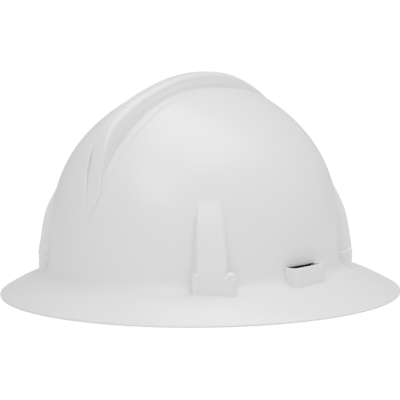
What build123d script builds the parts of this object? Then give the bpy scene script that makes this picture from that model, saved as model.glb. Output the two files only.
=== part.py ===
from build123d import *
import os
from math import atan2, cos, pi, radians, sin, sqrt

# Full brim hard hat, in millimetres. The origin is the middle of the brim, on the
# surface that the brim stands on. +Z is up, the front of the hat faces -Y, and the
# wearer's left side is +X.

os.makedirs("parts", exist_ok=True)

# Shell: brim and crown
brim_half_length = 152.0
brim_half_width = 139.0
brim_edge_height = 1.3
brim_root_height = 30.0
brim_wall = 2.8
wall = 2.5
crown_half_length = 116.7
crown_half_width = 95.7
crown_center_y = -7.0
crown_foot_height = 14.0
crown_peak_height = 155.0
overrun = 12.0

# Shell: valley and ridge over the crown
valley_half_width = 17.0
valley_tip_height = 64.0
valley_depth = 6.0
valley_step = 4.5
ridge_half_width = 6.2
ridge_height = 157.9
ridge_round = 3.4

# Shell: bosses that hold the suspension keys
front_boss_angle = 44.3
front_boss_facing = 45.5
rear_boss_angle = 140.5
rear_boss_facing = 129.2
boss_width = 29.6
boss_depth = 8.2
boss_height = 30.0
boss_round = 1.6
rib_width = 18.0
rib_top_width = 15.4
rib_depth = 8.1
rib_top_height = 79.0
rib_draft_share = 0.45

# Shell: slots for accessories, one on each side: a window in the crown's foot behind a lip
slot_center_y = -11.8
slot_length = 31.2
slot_gap = 5.8
slot_foot_height = 14.6
slot_lip_height = 29.2
slot_window_height = 28.8
slot_wall = 2.4

# Suspension keys
key_width = 16.0
key_thickness = 2.9
key_set_in = 0.75
key_foot_height = 27.0
key_foot_thickness = 6.0
key_top_height = 42.0
key_plate_thickness = 2.2
key_plate_top = 55.0
key_clearance = 0.15
peg_radius = 2.3
peg_height = 49.5
peg_head_radius = 3.6
peg_head_thickness = 1.1
pocket_side_gap = 0.4
pocket_mouth_height = 34.0

# Crown straps
strap_width = 17.0
strap_thickness = 1.2
strap_start_height = 35.0
strap_peak_height = 121.0
strap_crossing_gap = 1.3
strap_key_gap = 0.6
strap_roundness = 2.2
strap_sections = 13

# Headband
band_half_width = 76.0
band_half_length = 95.0
band_center_y = -15.5
band_thickness = 1.8
band_bottom = 8.0
band_top = 40.0
band_rear_bottom = 31.5
band_rear_start_y = 30.0
band_rear_slope = 14.0
tab_width = 13.0
tab_top = 60.0
tab_gap = 2.4
height_travel = 6.0
slot_clearance = 0.6

# Brow pad and its studs
pad_thickness = 4.0
pad_half_angle = 58.0
pad_margin = 2.5
pad_round = 1.5
soft_gap = 0.3
stud_radius = 1.9
stud_head_radius = 3.4
stud_head_thickness = 0.9
stud_angles = (-46.0, -17.0, 17.0, 46.0)
fit = 0.05

# Nape arms and their pivots
arm_thickness = 1.6
arm_height = 12.0
arm_bottom = 8.0
arm_pivot_y = 8.0
arm_corner_x = 37.0
arm_gap = 0.5
rack_height = 16.0
rack_length = 50.0
rear_face_y = 79.5
pivot_radius = 2.4
pivot_head_radius = 4.4
pivot_head_thickness = 1.1

# Ratchet
ratchet_height = 16.0
pinion_teeth = 12
tooth_module = 0.75
tooth_backlash = 0.12
rack_layer_gap = 0.3
housing_length = 72.0
housing_tall = 26.0
housing_wall = 2.0
housing_back_y = 89.0
cover_thickness = 1.8
cavity_back_y = 84.5
shaft_radius = 3.0
knob_radius = 12.4
knob_core_radius = 9.6
knob_length = 10.0
knob_gap = 0.4
grip_scallops = 18
scallop_radius = 1.1
screw_radius = 1.0
screw_spacing_x = 42.0
screw_spacing_z = 20.8
post_wall = 0.9
screw_head_radius = 2.1
screw_head_thickness = 1.4
click_teeth = 24
click_ring_radius = 8.2
click_ring_width = 1.6
click_tooth_depth = 0.5
click_ring_depth = 1.2
spring_thickness = 0.5
spring_width = 2.4
nape_pad_length = 58.0
nape_pad_height = 20.0
nape_pad_thickness = 3.2

# Shares of a tooth's pitch that a pinion tooth takes at its root and at its tip
tooth_root_share, tooth_tip_share = 0.58, 0.2
# Shares that set how the crown closes from its foot to its peak
length_power_share, length_root_share = 3.33, 1.844
width_power_share, width_root_share = 3.154, 1.141
crown_section_shares = (0.0, 0.14, 0.28, 0.42, 0.55, 0.67, 0.77, 0.85, 0.915, 0.965)
# Brim sections: share of the overhang, share of the rise from the edge to the root, share of the wall
brim_section_shares = ((1.08, -0.067, 0.0), (1.0, 0.0, 0.0), (0.93, 0.059, 0.03), (0.8, 0.164, 0.08),
                       (0.58, 0.322, 0.15), (0.38, 0.44, 0.3), (0.2, 0.52, 0.55), (0.11, 0.585, 0.8),
                       (0.055, 0.66, 0.93), (0.018, 0.79, 1.0), (-0.006, 1.03, 1.0))
# Half of the valley seen from the front: share of its half width, share of the peak height
valley_shares = ((0.33, 0.465), (0.47, 0.516), (0.61, 0.568), (0.72, 0.619), (0.82, 0.684), (0.9, 0.768),
                 (0.976, 0.852))
# The ridge seen from the side: share of the crown's half length, share of the ridge's height
rib_section_shares = ((0, 1.0), (0.26, 1.0), (0.4, 0.84), (0.54, 0.66), (0.67, 0.42), (0.79, 0.08),
                      (0.9, -0.38), (1.0, -0.95))
ridge_shares = ((-0.972, 0.367), (-0.966, 0.418), (-0.955, 0.462), (-0.9385, 0.51), (-0.9256, 0.57),
                (-0.916, 0.64), (-0.904, 0.7), (-0.86, 0.766), (-0.68, 0.868), (-0.455, 0.937),
                (-0.21, 0.985), (0.04, 1.0), (0.265, 0.987), (0.43, 0.953), (0.56, 0.912), (0.68, 0.859),
                (0.8, 0.7815), (0.875, 0.684), (0.91, 0.614), (0.935, 0.545), (0.953, 0.481),
                (0.966, 0.418), (0.972, 0.367))


def crown_half_sizes(share, inset):
    """Half width and half length of the crown at a share of its rise."""
    half_width = (crown_half_width - inset) * (1 - share ** width_power_share) ** (1 / width_root_share)
    half_length = (crown_half_length - inset) * (1 - share ** length_power_share) ** (1 / length_root_share)
    return half_width, half_length


def crown_body(inset, peak_height):
    """Closed body of the crown, as a stack of ellipses that shrink towards the peak."""
    with BuildPart() as body:
        for share in crown_section_shares:
            height = crown_foot_height + (peak_height - crown_foot_height) * share
            half_width, half_length = crown_half_sizes(share, inset)
            with BuildSketch(Plane((0, crown_center_y, height))):
                Ellipse(half_width, half_length)
        loft()
    return body.part


def brim_body(is_void):
    """The brim as a drooping skirt of ellipses, past its edge. The void lies one wall below it."""
    with BuildPart() as body:
        for overhang, rise, wall_share in brim_section_shares:
            inset = wall * wall_share if is_void else 0
            drop = brim_wall * (1 - wall_share / 2) if is_void else 0
            half_width = crown_half_width + (brim_half_width - crown_half_width) * overhang - inset
            half_length = crown_half_length + (brim_half_length - crown_half_length) * overhang - inset
            center_y = crown_center_y * (1 - overhang)
            height = brim_edge_height + (brim_root_height - brim_edge_height) * rise - drop
            with BuildSketch(Plane((0, center_y, height))):
                Ellipse(half_width, half_length)
        loft()
    return body.part


def valley_cutter(grow):
    """Prism along the hat with a V point at the front and the rear, and upright sides above."""
    top = ridge_height + overrun
    half_width = valley_half_width + grow
    flank = [(valley_half_width * x + grow, crown_peak_height * z) for x, z in valley_shares]
    tip = (0, valley_tip_height - grow - grow)
    shoulder = (half_width, crown_peak_height - valley_depth)
    with BuildPart() as cutter:
        with BuildSketch(Plane.XZ):
            with BuildLine():
                Spline(tip, *flank, shoulder)
                Polyline(shoulder, (half_width, top), (-half_width, top), (-half_width, shoulder[1]))
                Spline(*[(-x, z) for x, z in (shoulder, *reversed(flank), tip)])
            make_face()
        extrude(amount=crown_half_length + overrun, both=True)
    return cutter.part


def ridge_body(inset):
    """The ridge over the crown, with its long edges rounded."""
    outline = []
    for y_share, z_share in ridge_shares:
        y = crown_half_length * y_share
        outline.append((crown_center_y + y - (inset if y > 0 else -inset), ridge_height * z_share - inset))
    with BuildPart() as body:
        with BuildSketch(Plane.YZ):
            with BuildLine():
                Spline(*outline)
                Line(outline[-1], outline[0])
            make_face()
        extrude(amount=ridge_half_width - inset, both=True)
        top = body.faces().sort_by(Axis.Z)[-1]
        fillet([edge for edge in top.edges() if edge.length > ridge_height], ridge_round - inset / 2)
    return body.part


def hat_body(is_void):
    """The hat's outer form, or the hollow that lies one wall inside it."""
    inset = wall if is_void else 0
    with BuildPart() as body:
        add(crown_body(inset, crown_peak_height - inset))
        add(valley_cutter(inset), mode=Mode.SUBTRACT)
        add(crown_body(inset + valley_step, crown_peak_height - valley_depth - inset))
        add(ridge_body(inset))
        add(brim_body(is_void))
        if is_void:
            with BuildSketch(Plane((0, crown_center_y, -overrun))):
                Ellipse(crown_half_width - inset, crown_half_length - inset)
            extrude(amount=crown_foot_height + overrun)
        else:
            with BuildSketch():
                Ellipse(brim_half_width, brim_half_length)
            extrude(amount=ridge_height + overrun, mode=Mode.INTERSECT)
    return body.part


def crown_station(angle):
    """Place on the crown's foot at an angle from the front, and the outward direction there."""
    across, ahead = sin(radians(angle)), -cos(radians(angle))
    reach = 1 / sqrt((across / crown_half_width) ** 2 + (ahead / crown_half_length) ** 2)
    x, y = reach * across, reach * ahead
    lean = atan2(y / crown_half_length ** 2, x / crown_half_width ** 2)
    return Vector(x, crown_center_y + y, 0), Vector(cos(lean), sin(lean), 0)


def side_plane(place, outward):
    """Upright plane through a station: its x runs outward, its y runs up."""
    return Plane(place, x_dir=outward, z_dir=Vector(outward.Y, -outward.X, 0))


def face_plane(place, outward):
    """Upright plane that faces outward at a station: its y runs up."""
    return Plane(place, x_dir=Vector(-outward.Y, outward.X, 0), z_dir=outward)


def boss_body(place, outward):
    """Boss on the crown: a block on the brim, and a rib with drafted sides that arches into the crown."""
    root = -boss_depth
    with BuildPart() as rib:
        for rise, reach in rib_section_shares:
            height = crown_foot_height + (rib_top_height - crown_foot_height) * rise
            front = rib_depth * reach
            half = (rib_width + (rib_top_width - rib_width) * rise) / 2
            rear_half = half + rib_draft_share * (front - 2 * root)
            with BuildSketch(Plane(place + Vector(0, 0, height), x_dir=outward)):
                with BuildLine():
                    Polyline((front, half), (2 * root, rear_half), (2 * root, -rear_half), (front, -half),
                             close=True)
                make_face()
        loft()
    with BuildPart() as block:
        with BuildSketch(Plane(place + Vector(0, 0, crown_foot_height), x_dir=outward)):
            Rectangle(boss_depth - root, boss_width)
        extrude(amount=boss_height - crown_foot_height)
        outer = block.faces().sort_by(Axis(place, outward))[-1]
        fillet(outer.edges().filter_by(lambda edge: edge.center().Z > crown_foot_height + boss_round),
               boss_round)
    with BuildPart() as boss:
        add(rib.part)
        add(block.part)
    return boss.part


def pocket_cutter(place, outward):
    """Key pocket: a slot behind the crown's inner wall, with a mouth that opens inwards below."""
    half = key_width / 2 + pocket_side_gap
    inner = -key_set_in - key_clearance
    outer = inner + key_thickness + 2 * key_clearance
    with BuildPart() as pocket:
        with BuildSketch(side_plane(place, outward)):
            with BuildLine():
                Polyline((-boss_width / 2, -overrun), (outer, -overrun),
                         (outer, key_top_height + pocket_side_gap),
                         (inner, key_top_height + pocket_side_gap),
                         (inner, pocket_mouth_height), (-boss_width / 2, pocket_mouth_height), close=True)
            make_face()
        extrude(amount=half, both=True)
    return pocket.part


def slot_rim(side):
    """Lip of an accessory slot, let into the brim's root: a wall round three sides, open at the crown."""
    middle_x = side * (crown_half_width + slot_gap / 2)
    with BuildPart() as rim:
        with BuildSketch(Plane((middle_x, slot_center_y, slot_foot_height))):
            Rectangle(slot_gap + 2 * slot_wall, slot_length + 2 * slot_wall)
        extrude(amount=slot_lip_height - slot_foot_height)
        outer = rim.faces().sort_by(Axis.X)[-1 if side > 0 else 0]
        fillet(outer.edges().filter_by(Axis.Z), slot_wall / 2)
        with BuildSketch(Plane((middle_x - side * slot_wall, slot_center_y, slot_foot_height))):
            Rectangle(slot_gap + 2 * slot_wall, slot_length)
        extrude(amount=slot_lip_height - slot_foot_height, mode=Mode.SUBTRACT)
    return rim.part


stations = {}
facings = {}
for end, angle, facing in (("front", front_boss_angle, front_boss_facing),
                           ("rear", rear_boss_angle, rear_boss_facing)):
    for side, sign in (("left", 1), ("right", -1)):
        stations[end + "_" + side] = crown_station(sign * angle)
        facings[end + "_" + side] = Vector(sign * sin(radians(facing)), -cos(radians(facing)), 0)

# The shell is one moulding
with BuildPart() as shell:
    add(hat_body(False))
    for name, facing in facings.items():
        add(boss_body(stations[name][0], facing))
    add(hat_body(True), mode=Mode.SUBTRACT)
    for place, outward in stations.values():
        add(pocket_cutter(place, outward), mode=Mode.SUBTRACT)
    for side in (1, -1):
        add(slot_rim(side))
        slot_inner, slot_outer = crown_half_width - 2 * wall, crown_half_width + slot_gap
        slot_middle = side * (slot_inner + slot_outer) / 2
        with BuildSketch(Plane((slot_middle, slot_center_y, slot_window_height))):
            Rectangle(slot_outer - slot_inner, slot_length)
        extrude(amount=-slot_window_height, mode=Mode.SUBTRACT)
shell.part.label = "shell"
export_step(shell.part, "parts/shell.step")


def band_distance(place, outward):
    """Distance from a station, straight inwards, to the outside of the headband."""
    half_width, half_length = band_half_width + band_thickness, band_half_length + band_thickness
    y = place.Y - band_center_y
    a = (outward.X / half_width) ** 2 + (outward.Y / half_length) ** 2
    b = place.X * outward.X / half_width ** 2 + y * outward.Y / half_length ** 2
    c = (place.X / half_width) ** 2 + (y / half_length) ** 2 - 1
    return (b - sqrt(b * b - a * c)) / a


# Suspension keys: a tab in the boss, a foot that leads inwards, and a plate with a peg
key_reach = {}
for name, (place, outward) in stations.items():
    band_reach = band_distance(place, outward)
    plate_inner = band_reach - tab_gap
    plate_outer = plate_inner - key_plate_thickness
    key_reach[name] = plate_outer
    tab_inner = -key_set_in
    foot_top = key_foot_height + key_foot_thickness
    with BuildPart() as key:
        with BuildSketch(side_plane(place, outward)):
            with BuildLine():
                Polyline((tab_inner + key_thickness, key_foot_height),
                         (tab_inner + key_thickness, key_top_height), (tab_inner, key_top_height),
                         (tab_inner, foot_top), (-plate_outer, foot_top), (-plate_outer, key_plate_top),
                         (-plate_inner, key_plate_top), (-plate_inner, key_foot_height), close=True)
            make_face()
        extrude(amount=key_width / 2, both=True)
        peg_length = tab_gap + band_thickness + slot_clearance + peg_head_thickness
        with BuildSketch(face_plane(place - outward * plate_inner, -outward)):
            with Locations((0, peg_height)):
                Circle(peg_radius)
        extrude(amount=peg_length)
        with BuildSketch(face_plane(place - outward * (plate_inner + peg_length), outward)):
            with Locations((0, peg_height)):
                Circle(peg_head_radius)
        extrude(amount=peg_head_thickness)
    key.part.label = "key_" + name
    export_step(key.part, "parts/key_" + name + ".step")


def strap_body(first, second, lift):
    """Webbing strap: upright behind the plates of two opposite keys, and an arch between them."""
    (place_a, out_a), (place_b, out_b) = stations[first], stations[second]
    inset = strap_key_gap + strap_thickness / 2
    start = place_a - out_a * (key_reach[first] - inset)
    finish = place_b - out_b * (key_reach[second] - inset)
    middle = (start + finish) / 2
    ahead = (start - finish) / 2
    arch_height = strap_peak_height + lift - key_plate_top
    up = Vector(0, 0, 1)
    end_a, end_b = Vector(-out_a.Y, out_a.X, 0), Vector(out_b.Y, -out_b.X, 0)
    plain = Vector(-ahead.Y, ahead.X, 0).normalized()
    middle_height = (strap_start_height + key_plate_top) / 2
    frames = [(start + up * height, end_a, up) for height in (strap_start_height, middle_height)]
    for step in range(strap_sections):
        turn = pi * step / (strap_sections - 1)
        c, s = cos(turn), sin(turn)
        along = (1 if c > 0 else -1) * abs(c) ** (2 / strap_roundness)
        centre = middle + ahead * along + up * (key_plate_top + arch_height * s ** (2 / strap_roundness))
        slope = (up * (arch_height * c) - ahead * s).normalized()
        width_way = (end_a if c > 0 else end_b) * abs(c) + plain * (1 - abs(c))
        frames.append((centre, width_way - slope * width_way.dot(slope), slope))
    frames += [(finish + up * height, end_b, -up) for height in (middle_height, strap_start_height)]
    with BuildPart() as strap:
        for centre, width_way, slope in frames:
            with BuildSketch(Plane(centre, x_dir=width_way, z_dir=slope)):
                Rectangle(strap_width, strap_thickness)
        loft()
    return strap.part


strap_lift = strap_thickness + strap_crossing_gap
for name, first, second, lift in (("crown_strap_lower", "front_left", "rear_right", 0),
                                  ("crown_strap_upper", "front_right", "rear_left", strap_lift)):
    strap_part = strap_body(first, second, lift)
    strap_part.label = name
    export_step(strap_part, "parts/" + name + ".step")


def band_ring(inner_gap, thickness, bottom, top):
    """Upright elliptic ring. The gap is counted outwards from the headband's inner face."""
    with BuildPart() as ring:
        with BuildSketch(Plane((0, band_center_y, bottom))):
            Ellipse(band_half_width + inner_gap + thickness, band_half_length + inner_gap + thickness)
            Ellipse(band_half_width + inner_gap, band_half_length + inner_gap, mode=Mode.SUBTRACT)
        extrude(amount=top - bottom)
    return ring.part


def band_side_x(y):
    """Where the outside of the headband lies at a place along its side."""
    half_width, half_length = band_half_width + band_thickness, band_half_length + band_thickness
    return half_width * sqrt(1 - ((y - band_center_y) / half_length) ** 2)


arm_middle = arm_bottom + arm_height / 2
arm_face_x = band_side_x(arm_pivot_y - arm_height / 2) + arm_gap

# Headband: one strip with four upright tabs, a slot for a peg in each, and holes for studs
with BuildPart() as headband:
    add(band_ring(0, band_thickness, band_bottom, band_top))
    with BuildSketch(Plane.YZ):
        with BuildLine():
            Polyline((band_rear_start_y, band_bottom - overrun),
                     (band_rear_start_y, band_bottom),
                     (band_rear_start_y + band_rear_slope, band_rear_bottom),
                     (brim_half_length, band_rear_bottom),
                     (brim_half_length, band_bottom - overrun), close=True)
        make_face()
    extrude(amount=brim_half_width, both=True, mode=Mode.SUBTRACT)
    for place, outward in stations.values():
        foot = place - outward * band_distance(place, outward)
        with BuildPart(mode=Mode.PRIVATE) as tab:
            add(band_ring(0, band_thickness, band_top - band_thickness, tab_top))
            with BuildSketch(face_plane(foot, outward)):
                with Locations((0, tab_top / 2)):
                    RectangleRounded(tab_width, tab_top, tab_width / 4)
            extrude(amount=tab_width, both=True, mode=Mode.INTERSECT)
        add(tab.part)
    for place, outward in stations.values():
        foot = place - outward * band_distance(place, outward)
        opening = peg_radius + slot_clearance
        with BuildSketch(face_plane(foot, outward)):
            with Locations((0, peg_height)):
                SlotOverall(2 * (height_travel + opening), 2 * opening, rotation=90)
        extrude(amount=tab_width, both=True, mode=Mode.SUBTRACT)
    for angle in stud_angles:
        stud_x = (band_half_width + band_thickness) * sin(radians(angle))
        stud_y = band_center_y - (band_half_length + band_thickness) * cos(radians(angle))
        lean = atan2((stud_y - band_center_y) / band_half_length ** 2, stud_x / band_half_width ** 2)
        with BuildSketch(face_plane(Vector(stud_x, stud_y, 0), Vector(cos(lean), sin(lean), 0))):
            with Locations((0, (band_bottom + band_top) / 2)):
                Circle(stud_radius + fit)
        extrude(amount=pad_thickness, both=True, mode=Mode.SUBTRACT)
    with BuildSketch(Plane.YZ):
        with Locations((arm_pivot_y, arm_middle)):
            Circle(pivot_radius + fit)
    extrude(amount=brim_half_width, both=True, mode=Mode.SUBTRACT)
headband.part.label = "headband"
export_step(headband.part, "parts/headband.step")

# Brow pad: a soft strip inside the front of the headband, with rounded long edges
with BuildPart() as brow_pad:
    pad_top = band_top - pad_margin
    pad_bottom = band_bottom + pad_margin
    add(band_ring(-soft_gap - pad_thickness, pad_thickness, pad_bottom, pad_top))
    fillet(brow_pad.faces().sort_by(Axis.Z)[-1].edges() + brow_pad.faces().sort_by(Axis.Z)[0].edges(),
           pad_round)
    reach = brim_half_length
    with BuildSketch(Plane((0, band_center_y, pad_bottom))):
        with BuildLine():
            end_x = reach * sin(radians(pad_half_angle))
            end_y = -reach * cos(radians(pad_half_angle))
            Polyline((0, 0), (end_x, end_y), (end_x, -reach), (-end_x, -reach), (-end_x, end_y), close=True)
        make_face()
    extrude(amount=pad_top - pad_bottom, mode=Mode.INTERSECT)
brow_pad.part.label = "brow_pad"
export_step(brow_pad.part, "parts/brow_pad.step")

# Studs that hold the brow pad to the headband
with BuildPart() as pad_studs:
    for angle in stud_angles:
        stud_x = (band_half_width + band_thickness) * sin(radians(angle))
        stud_y = band_center_y - (band_half_length + band_thickness) * cos(radians(angle))
        lean = atan2((stud_y - band_center_y) / band_half_length ** 2, stud_x / band_half_width ** 2)
        outward = Vector(cos(lean), sin(lean), 0)
        base = Vector(stud_x, stud_y, (band_bottom + band_top) / 2)
        with BuildSketch(Plane(base + outward * soft_gap, z_dir=outward)):
            Circle(stud_head_radius)
        extrude(amount=stud_head_thickness)
        with BuildSketch(Plane(base + outward * soft_gap, z_dir=-outward)):
            Circle(stud_radius)
        extrude(amount=band_thickness + soft_gap)
pad_studs.part.label = "pad_studs"
export_step(pad_studs.part, "parts/pad_studs.step")

# Side pivots: a headed pin through the headband and the eye of a nape arm
for side, sign in (("left", 1), ("right", -1)):
    inner_x = band_side_x(arm_pivot_y + arm_height / 2) - band_thickness - pivot_head_thickness
    outer_x = arm_face_x + arm_thickness + arm_gap
    inner_plane = Plane((sign * inner_x, arm_pivot_y, arm_middle), x_dir=(0, 1, 0), z_dir=(sign, 0, 0))
    outer_plane = inner_plane.offset(outer_x - inner_x)
    with BuildPart() as pivot_pin:
        with BuildSketch(inner_plane):
            Circle(pivot_radius)
        extrude(amount=outer_x - inner_x + pivot_head_thickness)
        with BuildSketch(inner_plane):
            Circle(pivot_head_radius)
        extrude(amount=pivot_head_thickness / 2)
        with BuildSketch(outer_plane):
            Circle(pivot_head_radius)
        extrude(amount=pivot_head_thickness)
    pivot_pin.part.label = "pivot_pin_" + side
    export_step(pivot_pin.part, "parts/pivot_pin_" + side + ".step")

pitch_radius = pinion_teeth * tooth_module / 2
tooth_pitch = pi * tooth_module
tooth_rise = tooth_module
tooth_fall = tooth_module + 2 * tooth_backlash
rack_bottom = ratchet_height - rack_height / 2
slot_plain = pitch_radius + tooth_rise + tooth_module


def rack_cutter(face_y, sign, teeth_side):
    """Long window in a rack, with teeth along its upper (1) or lower (-1) edge."""
    inner_end = arm_corner_x - rack_length + rack_height / 4
    outer_end = arm_corner_x - rack_height / 2
    deep = pitch_radius + tooth_fall
    points = [(inner_end, -slot_plain), (outer_end, -slot_plain), (outer_end, deep)]
    for tooth in range(int(outer_end / tooth_pitch) - 1, -int(-inner_end / tooth_pitch), -1):
        middle = tooth * tooth_pitch
        wide, narrow = tooth_pitch / 2 - tooth_backlash, tooth_pitch / 4
        points += [(middle + wide / 2 + narrow / 2, deep),
                   (middle + narrow / 2, pitch_radius - tooth_rise),
                   (middle - narrow / 2, pitch_radius - tooth_rise),
                   (middle - wide / 2 - narrow / 2, deep)]
    points += [(inner_end, deep)]
    with BuildPart() as cutter:
        with BuildSketch(Plane((0, face_y, ratchet_height), x_dir=(sign, 0, 0), z_dir=(0, -sign, 0))):
            with BuildLine():
                Polyline(*[(x, y * teeth_side) for x, y in points], close=True)
            make_face()
        extrude(amount=arm_thickness + arm_gap, both=True)
    return cutter.part


# Nape arms: flexible strips from the side pivots into the ratchet, where they end in racks
for side, sign, layer, teeth_side in (("left", 1, 0, 1), ("right", -1, arm_thickness + rack_layer_gap, -1)):
    face_y = rear_face_y + layer
    outer_x = arm_face_x + arm_thickness
    front_y = arm_pivot_y - arm_height / 2
    rack_x = arm_corner_x - rack_length / 2
    with BuildPart() as nape_arm:
        with BuildSketch(Plane.XY.offset(arm_bottom)):
            with BuildLine():
                Line((sign * arm_face_x, front_y), (sign * outer_x, front_y))
                Line((sign * outer_x, front_y), (sign * outer_x, arm_pivot_y))
                EllipticalCenterArc((sign * arm_corner_x, arm_pivot_y), outer_x - arm_corner_x,
                                    face_y + arm_thickness - arm_pivot_y,
                                    start_angle=0 if sign > 0 else 90, arc_size=90)
                Line((sign * arm_corner_x, face_y + arm_thickness), (sign * arm_corner_x, face_y))
                EllipticalCenterArc((sign * arm_corner_x, arm_pivot_y), arm_face_x - arm_corner_x,
                                    face_y - arm_pivot_y,
                                    start_angle=0 if sign > 0 else 90, arc_size=90)
                Line((sign * arm_face_x, arm_pivot_y), (sign * arm_face_x, front_y))
            make_face()
        extrude(amount=arm_height)
        with BuildSketch(Plane((sign * rack_x, face_y + arm_thickness / 2, rack_bottom))):
            Rectangle(rack_length, arm_thickness)
        extrude(amount=rack_height)
        add(rack_cutter(face_y + arm_thickness / 2, sign, teeth_side), mode=Mode.SUBTRACT)
        with BuildSketch(Plane.YZ):
            with Locations((arm_pivot_y, arm_middle)):
                Circle(pivot_radius + fit)
        extrude(amount=brim_half_width, both=True, mode=Mode.SUBTRACT)
        front_edges = nape_arm.edges().filter_by(Axis.X).group_by(Axis.Y)[0]
        fillet(front_edges, arm_height / 2 - arm_gap)
    nape_arm.part.label = "nape_arm_" + side
    export_step(nape_arm.part, "parts/nape_arm_" + side + ".step")


def rear_plane(y):
    """Plane across the rear of the hat that faces the knob: its x runs to the wearer's right."""
    return Plane((0, y, ratchet_height), x_dir=(-1, 0, 0), z_dir=(0, 1, 0))


screw_places = [(x * screw_spacing_x / 2, z * screw_spacing_z / 2) for x in (1, -1) for z in (1, -1)]

# Ratchet housing: the rear half, open towards the head, with a mouth for the arms at each end
cover_back_y = rear_face_y - rack_layer_gap
with BuildPart() as ratchet_housing:
    with BuildSketch(rear_plane(cover_back_y)):
        RectangleRounded(housing_length, housing_tall, housing_tall / 2 - housing_wall)
    extrude(amount=housing_back_y - cover_back_y)
    fillet(ratchet_housing.faces().sort_by(Axis.Y)[-1].edges(), housing_wall)
    with BuildSketch(rear_plane(cover_back_y)):
        RectangleRounded(housing_length - 2 * housing_wall, housing_tall - 2 * housing_wall,
                         housing_tall / 2 - 2 * housing_wall)
    extrude(amount=cavity_back_y - cover_back_y, mode=Mode.SUBTRACT)
    with BuildSketch(rear_plane(cover_back_y)):
        Rectangle(housing_length + overrun, rack_height + arm_thickness)
    extrude(amount=2 * (arm_thickness + arm_gap) + rack_layer_gap, mode=Mode.SUBTRACT)
    for x, z in screw_places:
        with BuildSketch(rear_plane(cover_back_y)):
            with Locations((x, z)):
                Circle(screw_radius + post_wall)
        extrude(amount=cavity_back_y - cover_back_y)
        with BuildSketch(rear_plane(cover_back_y)):
            with Locations((x, z)):
                Circle(screw_radius)
        extrude(amount=housing_back_y, mode=Mode.SUBTRACT)
        with BuildSketch(rear_plane(housing_back_y - housing_wall)):
            with Locations((x, z)):
                Circle(screw_head_radius)
        extrude(amount=housing_wall, mode=Mode.SUBTRACT)
    with BuildSketch(rear_plane(cavity_back_y)):
        Circle(shaft_radius + fit)
    extrude(amount=housing_back_y, mode=Mode.SUBTRACT)
    with BuildSketch(rear_plane(housing_back_y)):
        Circle(click_ring_radius + click_ring_width)
    extrude(amount=-click_ring_depth - spring_width / 2, mode=Mode.SUBTRACT)
ratchet_housing.part.label = "ratchet_housing"
export_step(ratchet_housing.part, "parts/ratchet_housing.step")

# Ratchet cover: a plate on the side of the head, with a lip that locates it in the housing
with BuildPart() as ratchet_cover:
    with BuildSketch(rear_plane(cover_back_y - cover_thickness)):
        RectangleRounded(housing_length, housing_tall, housing_tall / 2 - housing_wall)
    extrude(amount=cover_thickness)
    fillet(ratchet_cover.faces().sort_by(Axis.Y)[0].edges(), cover_thickness / 2)
ratchet_cover.part.label = "ratchet_cover"
export_step(ratchet_cover.part, "parts/ratchet_cover.step")

# Nape pad: a soft pad on the cover
with BuildPart() as nape_pad:
    with BuildSketch(rear_plane(cover_back_y - cover_thickness - soft_gap)):
        RectangleRounded(nape_pad_length, nape_pad_height, nape_pad_height / 2 - soft_gap)
    extrude(amount=-nape_pad_thickness)
    fillet(nape_pad.faces().sort_by(Axis.Y)[0].edges(), nape_pad_thickness / 2)
nape_pad.part.label = "nape_pad"
export_step(nape_pad.part, "parts/nape_pad.step")

# Pinion: its teeth mesh with both racks, and its shaft carries the knob
gear_length = 2 * arm_thickness + rack_layer_gap
shaft_end_y = housing_back_y + knob_length / 2
with BuildPart() as pinion:
    with BuildSketch(rear_plane(rear_face_y)):
        with BuildLine():
            outline = []
            root_radius, tip_radius = pitch_radius - tooth_fall, pitch_radius + tooth_rise - tooth_backlash
            root_turn, tip_turn = pi * tooth_root_share / pinion_teeth, pi * tooth_tip_share / pinion_teeth
            for tooth in range(pinion_teeth):
                middle = pi * (2 * tooth + 1) / pinion_teeth + pi / 2
                for radius, turn in ((root_radius, -root_turn), (tip_radius, -tip_turn),
                                     (tip_radius, tip_turn), (root_radius, root_turn)):
                    outline.append((radius * cos(middle + turn), radius * sin(middle + turn)))
            Polyline(*outline, close=True)
        make_face()
    extrude(amount=gear_length)
    with BuildSketch(rear_plane(rear_face_y)):
        Circle(shaft_radius)
    extrude(amount=shaft_end_y - rear_face_y)
    with BuildSketch(rear_plane(rear_face_y)):
        Circle(screw_radius)
    extrude(amount=housing_back_y, mode=Mode.SUBTRACT)
pinion.part.label = "pinion"
export_step(pinion.part, "parts/pinion.step")

# Knob: a dished core on the shaft, with a toothed ring that the click spring bears on
knob_face_y = housing_back_y + knob_gap
with BuildPart() as knob:
    with BuildSketch(rear_plane(knob_face_y)):
        Circle(knob_core_radius)
        Circle(shaft_radius, mode=Mode.SUBTRACT)
    extrude(amount=knob_length - knob_gap)
    with BuildSketch(rear_plane(housing_back_y + knob_length / 2)):
        Circle(shaft_radius)
        Circle(screw_radius, mode=Mode.SUBTRACT)
    extrude(amount=knob_length / 4)
    with BuildSketch(rear_plane(housing_back_y + knob_length)):
        Circle(knob_core_radius - click_ring_width)
    extrude(amount=-screw_head_thickness, mode=Mode.SUBTRACT)
    with BuildSketch(rear_plane(knob_face_y)):
        with BuildLine():
            outline = []
            for tooth in range(click_teeth):
                turn = 2 * pi * tooth / click_teeth
                half = pi / click_teeth
                outline.append((click_ring_radius * cos(turn), click_ring_radius * sin(turn)))
                inner_radius = click_ring_radius - click_tooth_depth
                outline.append((inner_radius * cos(turn + half), inner_radius * sin(turn + half)))
            Polyline(*outline, close=True)
        make_face()
        Circle(shaft_radius, mode=Mode.SUBTRACT)
    extrude(amount=-knob_gap - click_ring_depth)
knob.part.label = "knob"
export_step(knob.part, "parts/knob.step")

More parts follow.
